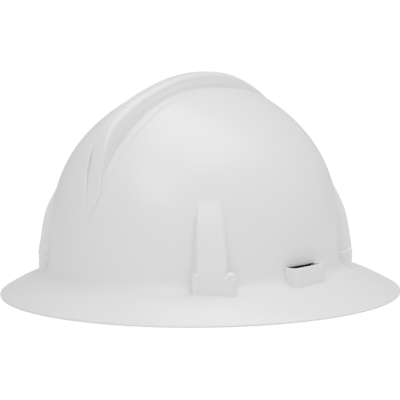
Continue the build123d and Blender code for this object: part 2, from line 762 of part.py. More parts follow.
# Knob grip: a soft ring around the core, with finger scallops
with BuildPart() as knob_grip:
    with BuildSketch(rear_plane(knob_face_y)):
        Circle(knob_radius)
        Circle(knob_core_radius + fit, mode=Mode.SUBTRACT)
        with PolarLocations(knob_radius + scallop_radius / 2, grip_scallops):
            Circle(scallop_radius, mode=Mode.SUBTRACT)
    extrude(amount=knob_length - knob_gap)
knob_grip.part.label = "knob_grip"
export_step(knob_grip.part, "parts/knob_grip.step")

# Knob screw: it holds the knob on the pinion's shaft
screw_seat_y = housing_back_y + knob_length * 3 / 4
with BuildPart() as knob_screw:
    with BuildSketch(rear_plane(rear_face_y + arm_thickness)):
        Circle(screw_radius)
    extrude(amount=screw_seat_y - rear_face_y - arm_thickness)
    with BuildSketch(rear_plane(screw_seat_y)):
        Circle(screw_head_radius)
    extrude(amount=screw_head_thickness)
knob_screw.part.label = "knob_screw"
export_step(knob_screw.part, "parts/knob_screw.step")

# Click spring: a leaf fixed in the housing's round recess, with a nose just clear of the knob's teeth
recess_back_y = housing_back_y - click_ring_depth - spring_width / 2
with BuildPart() as click_spring:
    with BuildSketch(rear_plane(recess_back_y)):
        with BuildLine():
            leaf_radius = click_ring_radius + 2 * spring_thickness
            leaf = CenterArc((0, 0), leaf_radius, 60, 60)
            offset(leaf, amount=spring_thickness / 2)
        make_face()
        with Locations((0, click_ring_radius + spring_thickness)):
            Circle(spring_thickness)
    extrude(amount=click_ring_depth + spring_width / 2)
click_spring.part.label = "click_spring"
export_step(click_spring.part, "parts/click_spring.step")

# Housing screws: four, from the rear into the cover
with BuildPart() as housing_screws:
    for x, z in screw_places:
        with BuildSketch(rear_plane(cover_back_y)):
            with Locations((x, z)):
                Circle(screw_radius - fit)
        extrude(amount=housing_back_y - housing_wall - cover_back_y)
        with BuildSketch(rear_plane(housing_back_y - housing_wall)):
            with Locations((x, z)):
                Circle(screw_head_radius - fit)
        extrude(amount=screw_head_thickness)
housing_screws.part.label = "housing_screws"
export_step(housing_screws.part, "parts/housing_screws.step")
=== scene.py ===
import bmesh
import bpy
import numpy as np
from math import cos, pi, radians, sin
from mathutils import Matrix, Vector


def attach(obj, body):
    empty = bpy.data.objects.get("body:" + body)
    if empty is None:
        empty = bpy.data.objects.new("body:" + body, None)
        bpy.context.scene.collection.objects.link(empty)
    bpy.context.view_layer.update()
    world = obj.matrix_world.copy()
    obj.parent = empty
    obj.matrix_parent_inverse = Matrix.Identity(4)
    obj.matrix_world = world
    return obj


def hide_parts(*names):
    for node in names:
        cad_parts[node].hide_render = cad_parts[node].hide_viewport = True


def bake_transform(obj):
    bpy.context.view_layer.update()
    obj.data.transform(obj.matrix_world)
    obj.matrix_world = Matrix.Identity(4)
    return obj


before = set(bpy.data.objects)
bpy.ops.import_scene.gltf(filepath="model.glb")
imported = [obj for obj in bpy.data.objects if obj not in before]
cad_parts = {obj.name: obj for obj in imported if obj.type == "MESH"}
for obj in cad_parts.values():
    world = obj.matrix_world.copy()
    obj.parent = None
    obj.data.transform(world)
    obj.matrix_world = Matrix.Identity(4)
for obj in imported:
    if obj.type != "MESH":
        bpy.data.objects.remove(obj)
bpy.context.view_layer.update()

# Sizes are in millimetres, as on a drawing of the hat, and become metres where a mesh is made.
# The front of the hat faces -Y, the wearer's left side is +X, and the brim stands on z = 0.
MM = 0.001

# Shell
BRIM_LENGTH, BRIM_WIDTH = 152.0, 139.0
CROWN_LENGTH, CROWN_WIDTH, CROWN_Y = 116.7, 95.7, -7.0
CROWN_FOOT, CROWN_PEAK = 14.0, 155.0
WALL = 2.5
VALLEY_DEPTH, VALLEY_TIP = 6.0, 64.0
AXIS_Z = 26.0
STATION_ANGLES, BOSS_FACINGS = (44.3, 140.5), (45.5, 129.2)
RIB_SHIFTS = (-1.8, 0.0)
POCKET_HALF, POCKET_BACK, POCKET_FRONT, POCKET_TOP, MOUTH_LOW, MOUTH_TOP = 8.4, 2.3, -0.9, 42.4, 15.6, 34.0

# Suspension
KEY_PLATE_TOP, KEY_PLATE_THICK, TAB_GAP = 55.0, 2.2, 2.4
STRAP_WIDTH, STRAP_THICK, STRAP_START, STRAP_PEAK = 17.0, 1.2, 35.0, 121.0
STRAP_CROSSING, STRAP_KEY_GAP, STRAP_ROUND = 1.3, 0.6, 2.2
BAND_HALF_X, BAND_HALF_Y, BAND_Y, BAND_THICK = 76.0, 95.0, -15.5, 1.8
ARM_THICK, ARM_TALL, ARM_LOW, ARM_PIVOT_Y, ARM_CORNER_X, ARM_GAP = 1.6, 12.0, 8.0, 8.0, 37.0, 0.5
RACK_TALL, RACK_LENGTH, REAR_FACE_Y, RATCHET_Z = 16.0, 50.0, 79.5, 16.0
TOOTH_MODULE, PINION_TEETH, BACKLASH = 0.75, 12, 0.12
PAD_TURN, PAD_LOW, PAD_HIGH, PAD_GAP = 58.0, 10.5, 37.5, 0.35
NAPE_HALF_X, NAPE_HALF_Z, NAPE_BACK_Y = 29.0, 10.0, 77.05

# Accessory slots: each is a window in the crown's foot with a lip that stands off it
SLOT_Y, SLOT_HALF, SLOT_GAP, SLOT_WALL = -11.8, 15.6, 5.8, 2.4
SLOT_LIP, SLOT_TOP = 29.2, 28.8


def eased(x, xs, ys):
    """Smooth curve through points: on each span a cubic whose slopes are those of the points' neighbours."""
    xs, ys, x = np.asarray(xs, float), np.asarray(ys, float), np.asarray(x, float)
    slope = np.gradient(ys, xs)
    i = np.clip(np.searchsorted(xs, x) - 1, 0, len(xs) - 2)
    h = xs[i + 1] - xs[i]
    t = np.clip((x - xs[i]) / h, 0, 1)
    a, b = 2 * t ** 3 - 3 * t ** 2 + 1, t ** 3 - 2 * t ** 2 + t
    c, d = -2 * t ** 3 + 3 * t ** 2, t ** 3 - t ** 2
    return a * ys[i] + b * h * slope[i] + c * ys[i + 1] + d * h * slope[i + 1]


def grid_faces(rows, cols, wrap_rows=False, wrap_cols=False, flip=False):
    """Quads of a grid of rows by cols points, joined end to end where a direction wraps."""
    r = np.arange(rows if wrap_rows else rows - 1)
    c = np.arange(cols if wrap_cols else cols - 1)
    r, c = np.meshgrid(r, c, indexing="ij")
    r2, c2 = (r + 1) % rows, (c + 1) % cols
    quads = np.stack([r * cols + c, r * cols + c2, r2 * cols + c2, r2 * cols + c], axis=-1).reshape(-1, 4)
    return quads[:, ::-1] if flip else quads


def patch(points, **ends):
    """A grid of points as a pair: its points in one list, and its quads."""
    rows, cols = points.shape[:2]
    return points.reshape(-1, 3), grid_faces(rows, cols, **ends)


def make_piece(name, patches, material, sharp=35.0, weld=0.02, scale=MM, cloth=None):
    """One mesh object from patches in millimetres, with equal points welded and edges over an angle sharp.
    Cloth holds the place of each point on the flat cloth, in metres, and becomes the mesh's UV map."""
    starts = np.cumsum([0] + [len(p) for p, _ in patches[:-1]])
    points = np.concatenate([p for p, _ in patches]) * scale
    faces = np.concatenate([f + s for (_, f), s in zip(patches, starts)])
    mesh = bpy.data.meshes.new(name)
    mesh.vertices.add(len(points))
    mesh.vertices.foreach_set("co", points.astype(np.float32).ravel())
    mesh.loops.add(faces.size)
    mesh.loops.foreach_set("vertex_index", faces.astype(np.int32).ravel())
    mesh.polygons.add(len(faces))
    mesh.polygons.foreach_set("loop_start", np.arange(0, faces.size, 4, dtype=np.int32))
    mesh.update(calc_edges=True)
    if cloth is not None:
        mesh.uv_layers.new(name="cloth").data.foreach_set("uv", cloth[faces.ravel()].astype(np.float32).ravel())
    weld_points(mesh, weld * scale)
    mesh.polygons.foreach_set("use_smooth", np.ones(len(mesh.polygons), dtype=bool))
    mesh.set_sharp_from_angle(angle=radians(sharp))
    mesh.materials.append(material)
    obj = bpy.data.objects.new(name, mesh)
    bpy.context.scene.collection.objects.link(obj)
    return obj


def weld_points(mesh, distance):
    """Merges points closer than a distance and drops the faces that this leaves without area."""
    bm = bmesh.new()
    bm.from_mesh(mesh)
    bmesh.ops.remove_doubles(bm, verts=bm.verts, dist=distance)
    bmesh.ops.dissolve_degenerate(bm, edges=bm.edges, dist=distance * 0.5)
    bm.to_mesh(mesh)
    bm.free()


def crown_half(z, inset, peak):
    """Half width and half length of the crown at a height: a superellipse from its foot to its peak."""
    u = np.clip((z - CROWN_FOOT) / (peak - CROWN_FOOT), 0, 1)
    width = (CROWN_WIDTH - inset) * (1 - u ** 3.154) ** (1 / 1.141)
    length = (CROWN_LENGTH - inset) * (1 - u ** 3.33) ** (1 / 1.844)
    return np.maximum(width, 1e-6), np.maximum(length, 1e-6)


def crown_reach(x, turn, inset, peak):
    """Distance from the crown's cross axis to its surface at a place x and a turn from the front,
    found by halving the span in which the ellipse's sum passes one."""
    low, high = np.zeros(np.broadcast(x, turn).shape), np.full(np.broadcast(x, turn).shape, 150.0)
    for _ in range(44):
        middle = (low + high) / 2
        width, length = crown_half(AXIS_Z + middle * np.sin(turn), inset, peak)
        inside = (x / width) ** 2 + (middle * np.cos(turn) / length) ** 2 < 1
        low, high = np.where(inside, middle, low), np.where(inside, high, middle)
    return (low + high) / 2


def crown_point(x, turn, reach):
    """Point at a place x, a turn about the crown's cross axis and a distance from it."""
    return np.stack([x + 0 * reach, CROWN_Y - reach * np.cos(turn), AXIS_Z + reach * np.sin(turn)], axis=-1)


def valley_half(z, grow):
    """Half width of the valley at a height: a point at its tip that widens to upright sides."""
    xs = np.array([VALLEY_TIP, 68.0, 74.0, 82.0, 90.0, 97.0, 106.0, 119.0, 132.0, 147.0, 170.0])
    ys = np.array([0.0, 2.2, 4.4, 6.8, 9.3, 11.4, 13.7, 15.3, 16.6, 17.0, 17.0])
    return np.where(z < VALLEY_TIP - grow, 0.0, eased(z, xs - grow, ys + grow * np.minimum(1, ys)))


def rim_line(turn, inset, grow):
    """Place x of the valley's edge on the crown for each turn, found by repeated substitution."""
    x = np.full(turn.shape, 8.0)
    for _ in range(60):
        reach = crown_reach(x, turn, inset, CROWN_PEAK - inset)
        x = 0.5 * x + 0.5 * valley_half(AXIS_Z + reach * np.sin(turn), grow)
    return np.where(x < 0.02, 0.0, x)


def valley_step(turn):
    """How far the valley's floor lies inside the crown: nothing at its tips, and full height over the top."""
    z = AXIS_Z + 108 * np.sin(turn)
    return eased(z, [60, VALLEY_TIP + 2, 78, 90, 102, 114, 126, 140], [0.15, 0.2, 0.6, 1.4, 2.6, 3.7, 4.5, 4.5])


def lobe(side, inset, turns=300, columns=84):
    """One side of the crown: from its side pole to the valley's edge, over the edge's small round,
    and down the valley's wall to its floor."""
    outer = inset == 0
    turn = np.linspace(0, pi, turns)[:, None]
    edge = rim_line(turn, inset, inset)
    soft = np.clip(edge / 7, 0, 1)
    high = np.clip((np.sin(turn) - 0.55) / 0.4, 0, 1)
    round_edge = ((1.6 + 2.0 * high) if outer else 0.8) * soft
    pole = crown_half(AXIS_Z, inset, CROWN_PEAK - inset)[0]
    s = np.linspace(0, 1, columns)[None, :]
    x = pole - (pole - edge - round_edge) * s ** 2
    reach = crown_reach(x, turn, inset, CROWN_PEAK - inset)
    reach[:, 0] = 0
    parts = [(x, reach)]
    arc = np.linspace(0, pi / 2, 7)[None, 1:]
    x_arc = edge + round_edge * (1 - np.sin(arc))
    r_arc = crown_reach(x_arc, turn, inset, CROWN_PEAK - inset) - round_edge * (1 - np.cos(arc))
    parts.append((x_arc, r_arc))
    floor = np.minimum(crown_reach(edge, turn, inset + valley_step(turn), CROWN_PEAK - VALLEY_DEPTH - inset) - 0.7,
                       r_arc[:, -1:])
    floor = r_arc[:, -1:] + (floor - r_arc[:, -1:]) * np.clip(edge / 2, 0, 1)
    down = np.linspace(0, 1, 4)[None, 1:]
    parts.append((edge + 0 * down, r_arc[:, -1:] + (floor - r_arc[:, -1:]) * down))
    x = np.concatenate([p[0] for p in parts], axis=1)
    reach = np.concatenate([p[1] for p in parts], axis=1)
    points = crown_point(x, turn, reach)
    points[..., 0] *= side
    return patch(points, flip=(side < 0) == outer)


# The ridge seen from the side: share of the crown's half length, height
RIDGE = np.array([(-0.986, 56.0), (-0.985, 60.0), (-0.981, 66.0), (-0.972, 73.0), (-0.957, 81.0), (-0.9415, 90.0),
                  (-0.926, 99.0), (-0.907, 109.0), (-0.86, 121.0), (-0.68, 137.0), (-0.455, 148.0), (-0.21, 155.5),
                  (0.04, 157.9), (0.265, 155.8), (0.43, 150.5), (0.56, 144.0), (0.68, 135.7), (0.8, 123.4),
                  (0.875, 108.0), (0.915, 97.0), (0.944, 86.0), (0.966, 76.0), (0.98, 66.0), (0.985, 60.0),
                  (0.986, 56.0)])


def ridge_reach(turn):
    """Distance from the crown's cross axis to the top of the ridge at each turn from the front."""
    y, z = RIDGE[:, 0] * CROWN_LENGTH, RIDGE[:, 1] - AXIS_Z
    return eased(turn, np.arctan2(z, -y), np.hypot(y, z))


def valley(inset, turns=300):
    """The valley with its ridge, as one section carried over the crown from front to rear. From the middle out
    the section is the ridge's top, a round shoulder, a flank, a hollow round and the floor, which runs under the
    crown's edge. Shoulder and hollow are tight at the front and rear and wide over the top."""
    turn = np.linspace(0.24, pi - 0.24, turns)[:, None]
    edge = rim_line(turn, inset, inset) + 0.5
    top = ridge_reach(turn) - inset
    high = np.clip((AXIS_Z + top * np.sin(turn) - 100) / 36, 0, 1)
    high = high * high * (3 - 2 * high)
    half = 5.3 + 0.9 * high - inset
    shoulder, hollow, flare = 0.9 + 3.5 * high, 0.7 + 3.4 * high, 0.25 + 1.3 * high
    if inset:
        shoulder, flare = shoulder * 0.5, flare * 0.5
    half = np.minimum(half, edge - 0.6)
    foot = np.minimum(half + flare + hollow, edge - 0.3)
    step = inset + valley_step(turn)
    floor = crown_reach(foot, turn, step, CROWN_PEAK - VALLEY_DEPTH - inset)
    depth = np.maximum(top - floor, 0.05)
    scale = np.minimum(1, depth / (shoulder + hollow + 0.2))
    shoulder, hollow = shoulder * scale, hollow * scale
    wide = np.minimum(shoulder, half)
    arc = np.linspace(0, pi / 2, 7)[None, :]
    flat = np.linspace(0, 1, 3)[None, :-1] * (half - wide)
    x_shoulder, r_shoulder = half - wide + wide * np.sin(arc), top - shoulder * (1 - np.cos(arc))
    t = np.linspace(0, 1, 4)[None, 1:-1]
    x_low = foot - (foot - half) * hollow / (hollow + flare + 0.01)
    x_flank = half + (x_low - half) * t
    r_flank = top - shoulder + (floor + hollow - top + shoulder) * t
    x_hollow = x_low + (foot - x_low) * (1 - np.cos(arc))
    r_hollow = floor + hollow * (1 - np.sin(arc))
    x_floor = foot + (edge - foot) * np.linspace(0, 1, 6)[None, 1:]
    x = np.concatenate([flat, x_shoulder, x_flank, x_hollow, x_floor], axis=1)
    r_floor = crown_reach(x_floor, turn, step, CROWN_PEAK - VALLEY_DEPTH - inset)
    reach = np.concatenate([top + 0 * flat, r_shoulder, r_flank, r_hollow, r_floor], axis=1)
    x = np.concatenate([-x[:, :0:-1], x], axis=1)
    reach = np.concatenate([reach[:, :0:-1], reach], axis=1)
    return patch(crown_point(x, turn, reach), flip=inset == 0)


# Brim profile: share of the overhang from the crown's foot to the edge, and height
BRIM_TOP = [(-0.012, 40.0), (-0.006, 33.0), (0.001, 28.0), (0.014, 23.8), (0.04, 20.6), (0.085, 18.3),
            (0.14, 17.0), (0.2, 16.1), (0.38, 13.8), (0.58, 10.5), (0.8, 6.0), (0.93, 3.0), (0.985, 1.6),
            (1.0, 1.0), (1.0, 0.4), (0.992, 0.0)]
BRIM_UNDER = [(0.94, 0.0), (0.932, 0.3), (0.8, 3.4), (0.58, 7.8), (0.38, 11.0), (0.16, 13.9), (0.05, 15.6),
              (-0.02, 18.2), (-0.05, 22.0), (-0.0595, 29.0), (-0.0595, 40.0)]


def brim(columns=400):
    """The brim: one closed profile of top, edge and underside, carried round ellipses."""
    top, under = np.array(BRIM_TOP), np.array(BRIM_UNDER)
    def dense(line, count):
        along = np.concatenate([[0], np.cumsum(np.hypot(*(np.diff(line, axis=0) * (42, 1)).T))])
        s = np.linspace(0, along[-1], count)
        return np.stack([eased(s, along, line[:, 0]), eased(s, along, line[:, 1])], axis=-1)
    profile = np.concatenate([dense(top, 74), under[:2], dense(under[1:], 46)[1:]])
    turn = np.linspace(0, 2 * pi, columns, endpoint=False)[None, :]
    share, z = profile[:, :1], profile[:, 1:]
    x = (CROWN_WIDTH + (BRIM_WIDTH - CROWN_WIDTH) * share) * np.sin(turn)
    y = CROWN_Y * (1 - np.clip(share, 0, 1)) - (CROWN_LENGTH + (BRIM_LENGTH - CROWN_LENGTH) * share) * np.cos(turn)
    return patch(np.stack([x, y, z + 0 * turn], axis=-1), wrap_cols=True, flip=True)


def station(angle):
    """Place on the crown's foot at an angle from the front, with the outward and the sideways direction."""
    across, ahead = sin(radians(angle)), -cos(radians(angle))
    reach = ((across / CROWN_WIDTH) ** 2 + (ahead / CROWN_LENGTH) ** 2) ** -0.5
    x, y = reach * across, reach * ahead
    out = np.array([x / CROWN_WIDTH ** 2, y / CROWN_LENGTH ** 2, 0.0])
    out /= np.hypot(*out[:2])
    return np.array([x, CROWN_Y + y, 0.0]), out, np.array([-out[1], out[0], 0.0])


def plan_distance(origin, out, half_x, half_y, centre_y):
    """Distance inwards along out from origin to an ellipse in plan: the nearer root of the quadratic."""
    x, y = origin[..., 0], origin[..., 1] - centre_y
    a = (out[0] / half_x) ** 2 + (out[1] / half_y) ** 2
    b = x * out[0] / half_x ** 2 + y * out[1] / half_y ** 2
    c = (x / half_x) ** 2 + (y / half_y) ** 2 - 1
    return (b - np.sqrt(np.maximum(b * b - a * c, 0))) / a


def inner_point(place, out, aside, along, z):
    """Point of the shell's inner face at a station: along it sideways and at a height, on the brim's underside
    low down and on the crown's inner wall above."""
    along, z = np.broadcast_arrays(along, z)
    under = np.array(BRIM_UNDER)[::-1]
    share = np.interp(-z, -under[:, 1], under[:, 0])
    width, length = crown_half(z, WALL, CROWN_PEAK - WALL)
    half_x = np.where(z < 30, CROWN_WIDTH + (BRIM_WIDTH - CROWN_WIDTH) * share, width)
    half_y = np.where(z < 30, CROWN_LENGTH + (BRIM_LENGTH - CROWN_LENGTH) * share, length)
    centre_y = np.where(z < 30, CROWN_Y * (1 - np.clip(share, 0, 1)), CROWN_Y)
    origin = place + along[..., None] * aside
    reach = plan_distance(origin, out, half_x, half_y, centre_y)
    return origin - reach[..., None] * out + z[..., None] * np.array([0, 0, 1.0])


def pocket(place, out, aside):
    """Key pocket in the wall behind a boss: a channel with a mouth towards the head, and a flat frame round it.
    The channel's profile of depth and height is carried sideways, and the frame follows the inner face."""
    across = np.linspace(-POCKET_HALF, POCKET_HALF, 9)
    up = np.array([0, 0, 1.0])
    at = lambda depth, z: place + across[:, None] * aside + depth * out + z * up
    ledge = inner_point(place, out, aside, across, np.full(9, MOUTH_TOP))
    profile = [at(POCKET_BACK, MOUTH_LOW), at(POCKET_BACK, POCKET_TOP), at(POCKET_FRONT, POCKET_TOP),
               at(POCKET_FRONT, MOUTH_TOP), ledge]
    made = [patch(np.stack(profile), flip=True)]
    z = np.concatenate([np.linspace(MOUTH_LOW, MOUTH_TOP, 14), [MOUTH_TOP, POCKET_TOP]])
    for end in (1, -1):
        back = place + end * POCKET_HALF * aside + POCKET_BACK * out + z[:, None] * up
        mouth = inner_point(place, out, aside, end * POCKET_HALF + 0 * z, z)
        mouth[-2:] = back[-2:] + (POCKET_FRONT - POCKET_BACK) * out
        made.append(patch(np.stack([back, mouth], axis=1), flip=end > 0))
    middle, half_z = (MOUTH_LOW + MOUTH_TOP) / 2, (MOUTH_TOP - MOUTH_LOW) / 2
    rows = []
    for grow, low, lift in ((0.0, 0.0, -0.8), (0.0, 0.0, 0.2), (0.25, 0.15, 0.3), (2.9, 1.3, 0.3), (3.2, 1.5, -0.4)):
        a, b = rounded_outline(POCKET_HALF + grow, half_z + grow, 0.8 + grow, steps=5)
        a, b = subdivided(a[0], 6), subdivided(b[0], 6)
        z = np.maximum(middle + b, MOUTH_LOW - low)
        points = inner_point(place, out, aside, a, z)
        rows.append(points - lift * (out + up * np.clip((21 - z) / 4, 0, 1)[:, None]))
    made.append(patch(np.stack(rows), wrap_cols=True, flip=False))
    return made


def subdivided(loop, parts):
    """Closed loop of numbers with each span cut into equal parts."""
    share = np.arange(parts) / parts
    return (loop[:, None] + (np.roll(loop, -1) - loop)[:, None] * share).ravel()


def pockets_open(pair):
    """The same patch without the faces that would close a key pocket's mouth."""
    points, faces = pair
    for side in (1, -1):
        for angle in STATION_ANGLES:
            place, out, aside = station(side * angle)
            along, depth, z = (points - place) @ aside, (points - place) @ out, points[:, 2]
            inside = ((np.abs(along) < POCKET_HALF) & (depth > -8) & (depth < POCKET_BACK) & (z > MOUTH_LOW - 0.3)
                      & (z < MOUTH_TOP))
            faces = faces[~inside[faces].any(axis=1)]
    return points, faces


def rounded_outline(half_x, half_y, corner, steps=6):
    """Outline of a rectangle with round corners, as arrays over rows of sizes: quarter circles at the corners."""
    arc = np.linspace(0, pi / 2, steps)
    turn = np.concatenate([arc + k * pi / 2 for k in range(4)])[None, :]
    sign_x = np.repeat([1, -1, -1, 1], steps)[None, :]
    sign_y = np.repeat([1, 1, -1, -1], steps)[None, :]
    half_x, half_y, corner = (np.asarray(v, float).reshape(-1, 1) for v in (half_x, half_y, corner))
    corner = np.minimum(corner, np.minimum(half_x, half_y))
    return (sign_x * (half_x - corner) + corner * np.cos(turn), sign_y * (half_y - corner) + corner * np.sin(turn))


def stacked(rows, origin, x_way, y_way, up=(0, 0, 1), flip=False):
    """Closed form from rows of (half x, half y, corner, height, shift x), each a rounded outline at its height.
    The first and last rows are closed by outlines of no size."""
    rows = np.asarray(rows, float)
    closed = np.concatenate([rows[:1] * (0, 0, 0, 1, 1), rows, rows[-1:] * (0, 0, 0, 1, 1)])
    a, b = rounded_outline(closed[:, 0], closed[:, 1], closed[:, 2])
    a = a + closed[:, 4:5]
    points = (np.asarray(origin) + a[..., None] * np.asarray(x_way) + b[..., None] * np.asarray(y_way)
              + closed[:, 3][:, None, None] * np.asarray(up))
    return patch(points, wrap_cols=True, flip=flip)


def boss(place, turn, shift):
    """One boss: a block with eased edges on the brim, two rounded ears on its shoulders, and a rib that is flush
    with the block at its foot, and narrows and sinks into the crown as it rises. The rib's section is a rectangle
    whose half width grows inwards by 0.45 of the depth, and its front turns with height from the block's facing to
    the crown's own curve. Its height over the crown, g, fades out as g / 2 + sqrt(g * g + 1) / 2 - 0.2."""
    out = np.array([sin(turn), -cos(turn), 0.0])
    aside = np.array([-out[1], out[0], 0.0])
    ease = 1.9
    arc = np.linspace(0, pi / 2, 6)
    rows = [(2.1, 14.8, 1.6, 14.4, 6.1), (3.4, 14.8, 1.6, 16.4, 4.8), (4.5, 14.8, 1.6, 19.0, 3.7),
            (5.35, 14.8, 1.6, 24.0, 2.85), (5.35, 14.8, 1.6, 27.0, 2.85)]
    rows += [(5.35 - ease * (1 - cos(t)), 14.8 - ease * (1 - cos(t)), 1.8, 27.0 + ease * sin(t), 2.85)
             for t in arc[1:]]
    pieces = [stacked(rows, place, out, aside)]
    for end in (1, -1):
        pieces.append(ellipsoid(place + out * 5.5 + aside * (end * 11.0) + (0, 0, 28.2),
                                (out * 3.2, aside * 3.7, np.array([0, 0, 2.8]))))
    z = np.concatenate([[16.4, 19.0], np.linspace(24, 80.0, 56)])
    front = eased(z, [10, 24, 31, 37, 46, 55, 62, 70, 76, 80], [8.1, 8.2, 8.2, 7.4, 6.0, 4.2, 2.1, -1.6, -5.2, -8.2])
    half = eased(z, [10, 24, 34, 46, 60, 70, 80], [9.4, 9.4, 9.4, 9.3, 8.9, 8.1, 7.3])
    width, length = crown_half(z, 0, CROWN_PEAK)
    foot = place + shift * aside
    back = -plan_distance(foot + 0 * z[:, None], out, width, length, CROWN_Y) - 2.2
    back[:2] = 1.4, -0.8
    over = front - back - 2.2
    front = back + 2.2 + over / 2 + np.sqrt(over ** 2 + 1) / 2 - np.interp(z, [50, 65], [0, 0.2])
    rows = np.stack([(front - back) / 2, half, np.full_like(z, 1.5), z, (front + back) / 2], axis=-1)
    rib, faces = stacked(rows, foot, out, aside)
    rib = rib.reshape(len(z) + 2, -1, 3)
    ends = lambda values: np.concatenate([values[:1], values, values[-1:]])[:, None]
    inwards = ends(front) - (rib - foot) @ out
    along = (rib - foot) @ aside
    rib += (np.sign(along) * np.minimum(np.abs(along) / 4, 1) * 0.45 * inwards)[..., None] * aside
    beside = foot + along[..., None] * aside
    curve = plan_distance(foot + 0 * beside, out, ends(width), ends(length), CROWN_Y)
    curve -= plan_distance(beside, out, ends(width), ends(length), CROWN_Y)
    rib += (eased(ends(z), [34, 62], [0, 1]) * curve)[..., None] * out
    return pieces + [(rib.reshape(-1, 3), faces)]


def ellipsoid(centre, ways, rings=12, columns=20):
    """Ball stretched along three directions: the centre plus their sum, weighted by a unit sphere's coordinates."""
    polar = np.linspace(0, pi, rings)[:, None]
    turn = np.linspace(0, 2 * pi, columns, endpoint=False)[None, :]
    unit = np.stack([np.sin(polar) * np.cos(turn), np.sin(polar) * np.sin(turn), np.cos(polar) + 0 * turn], axis=-1)
    return patch(np.asarray(centre) + unit @ np.stack(ways), wrap_cols=True, flip=np.linalg.det(np.stack(ways)) > 0)


def underside(depth):
    """Height of the brim's underside at the hat's side, by its distance out from the crown's foot."""
    under = np.array(BRIM_UNDER)[::-1]
    return np.interp(depth / (BRIM_WIDTH - CROWN_WIDTH), under[1:, 0], under[1:, 1])


def slot_lip(side):
    """Lip of a slot: an upright wall on a path of three straights with round corners, its top edge a half round,
    its foot on the brim's underside."""
    reach = SLOT_GAP + SLOT_WALL / 2
    corner = 1.6
    arc = np.linspace(0, pi / 2, 7)
    out = np.concatenate([[-1.4], reach - corner + corner * np.sin(arc), reach - corner + corner * np.cos(arc), [-1.4]])
    end = SLOT_HALF + SLOT_WALL / 2
    along = np.concatenate([[-end], -end + corner * (1 - np.cos(arc)), end - corner * (1 - np.sin(arc)), [end]])
    line = np.stack([out, along], axis=-1)
    way = np.gradient(line, axis=0)
    way /= np.linalg.norm(way, axis=1)[:, None]
    normal = np.stack([way[:, 1], -way[:, 0]], axis=-1)
    tops = [(SLOT_WALL / 2, 0.0), (SLOT_WALL / 2, SLOT_LIP - 0.9)]
    tops += [(SLOT_WALL / 2 - 0.9 * (1 - cos(t)), SLOT_LIP - 0.9 + 0.9 * sin(t)) for t in np.linspace(0, pi / 2, 6)[1:]]
    tops.append((0.0, SLOT_LIP))
    rows = []
    for half, z in [(0.0, 0.0)] + tops:
        loop = np.concatenate([line + normal * half, (line - normal * half)[::-1]])
        z = np.maximum(z, underside(loop[:, 0]) + 0.2)
        rows.append(np.column_stack([side * (CROWN_WIDTH + loop[:, 0]), SLOT_Y + loop[:, 1], z]))
    return patch(np.stack(rows), wrap_cols=True, flip=side > 0)


def slot_frame(side):
    """Edge of a slot's window: a path up one side, across the top and down the other with round corners, carried
    from the crown's outer face to its inner face and a little past both. Low down the inner face leans out."""
    under = np.array(BRIM_UNDER)[::-1]
    corner = 2.0
    arc = np.linspace(0, pi / 2, 7)
    rows = []
    for grow, depth in ((0.0, -WALL - 0.5), (0.0, -0.3), (0.12, -0.03), (0.3, 0.1), (2.2, 0.1), (2.2, -WALL - 0.5)):
        half, top, bend = SLOT_HALF + grow, SLOT_TOP + grow, corner + grow
        y = np.concatenate([[-half], -half + bend * (1 - np.cos(arc)), np.linspace(-half + bend, half - bend, 11)[1:-1],
                            half - bend * (1 - np.sin(arc)), [half]])
        z = np.concatenate([[17.0], top - bend + bend * np.sin(arc), np.full(9, top), top - bend + bend * np.cos(arc),
                            [17.0]])
        x = crown_half(z, 0, CROWN_PEAK)[0] * np.sqrt(1 - ((SLOT_Y + y - CROWN_Y) / CROWN_LENGTH) ** 2)
        lean = np.interp(-z, -under[:, 1], under[:, 0]) * (BRIM_WIDTH - CROWN_WIDTH) - 0.5
        depth = np.clip(lean, depth, -0.3) if depth < -1 else depth
        rows.append(np.column_stack([side * (x + depth), SLOT_Y + y, z]))
    return patch(np.stack(rows), wrap_rows=True, flip=side > 0)


def slots_open(pair):
    """The same patch without the faces that would close a slot's window or its way down through the brim."""
    points, faces = pair
    x, y, z = points[:, 0], points[:, 1], points[:, 2]
    inside = ((np.abs(x) > 88) & (np.abs(x) < CROWN_WIDTH + SLOT_GAP + 1.2) & (np.abs(y - SLOT_Y) < SLOT_HALF + 1.4)
              & (z < SLOT_TOP + 1.4))
    return points, faces[~inside[faces].all(axis=1)]


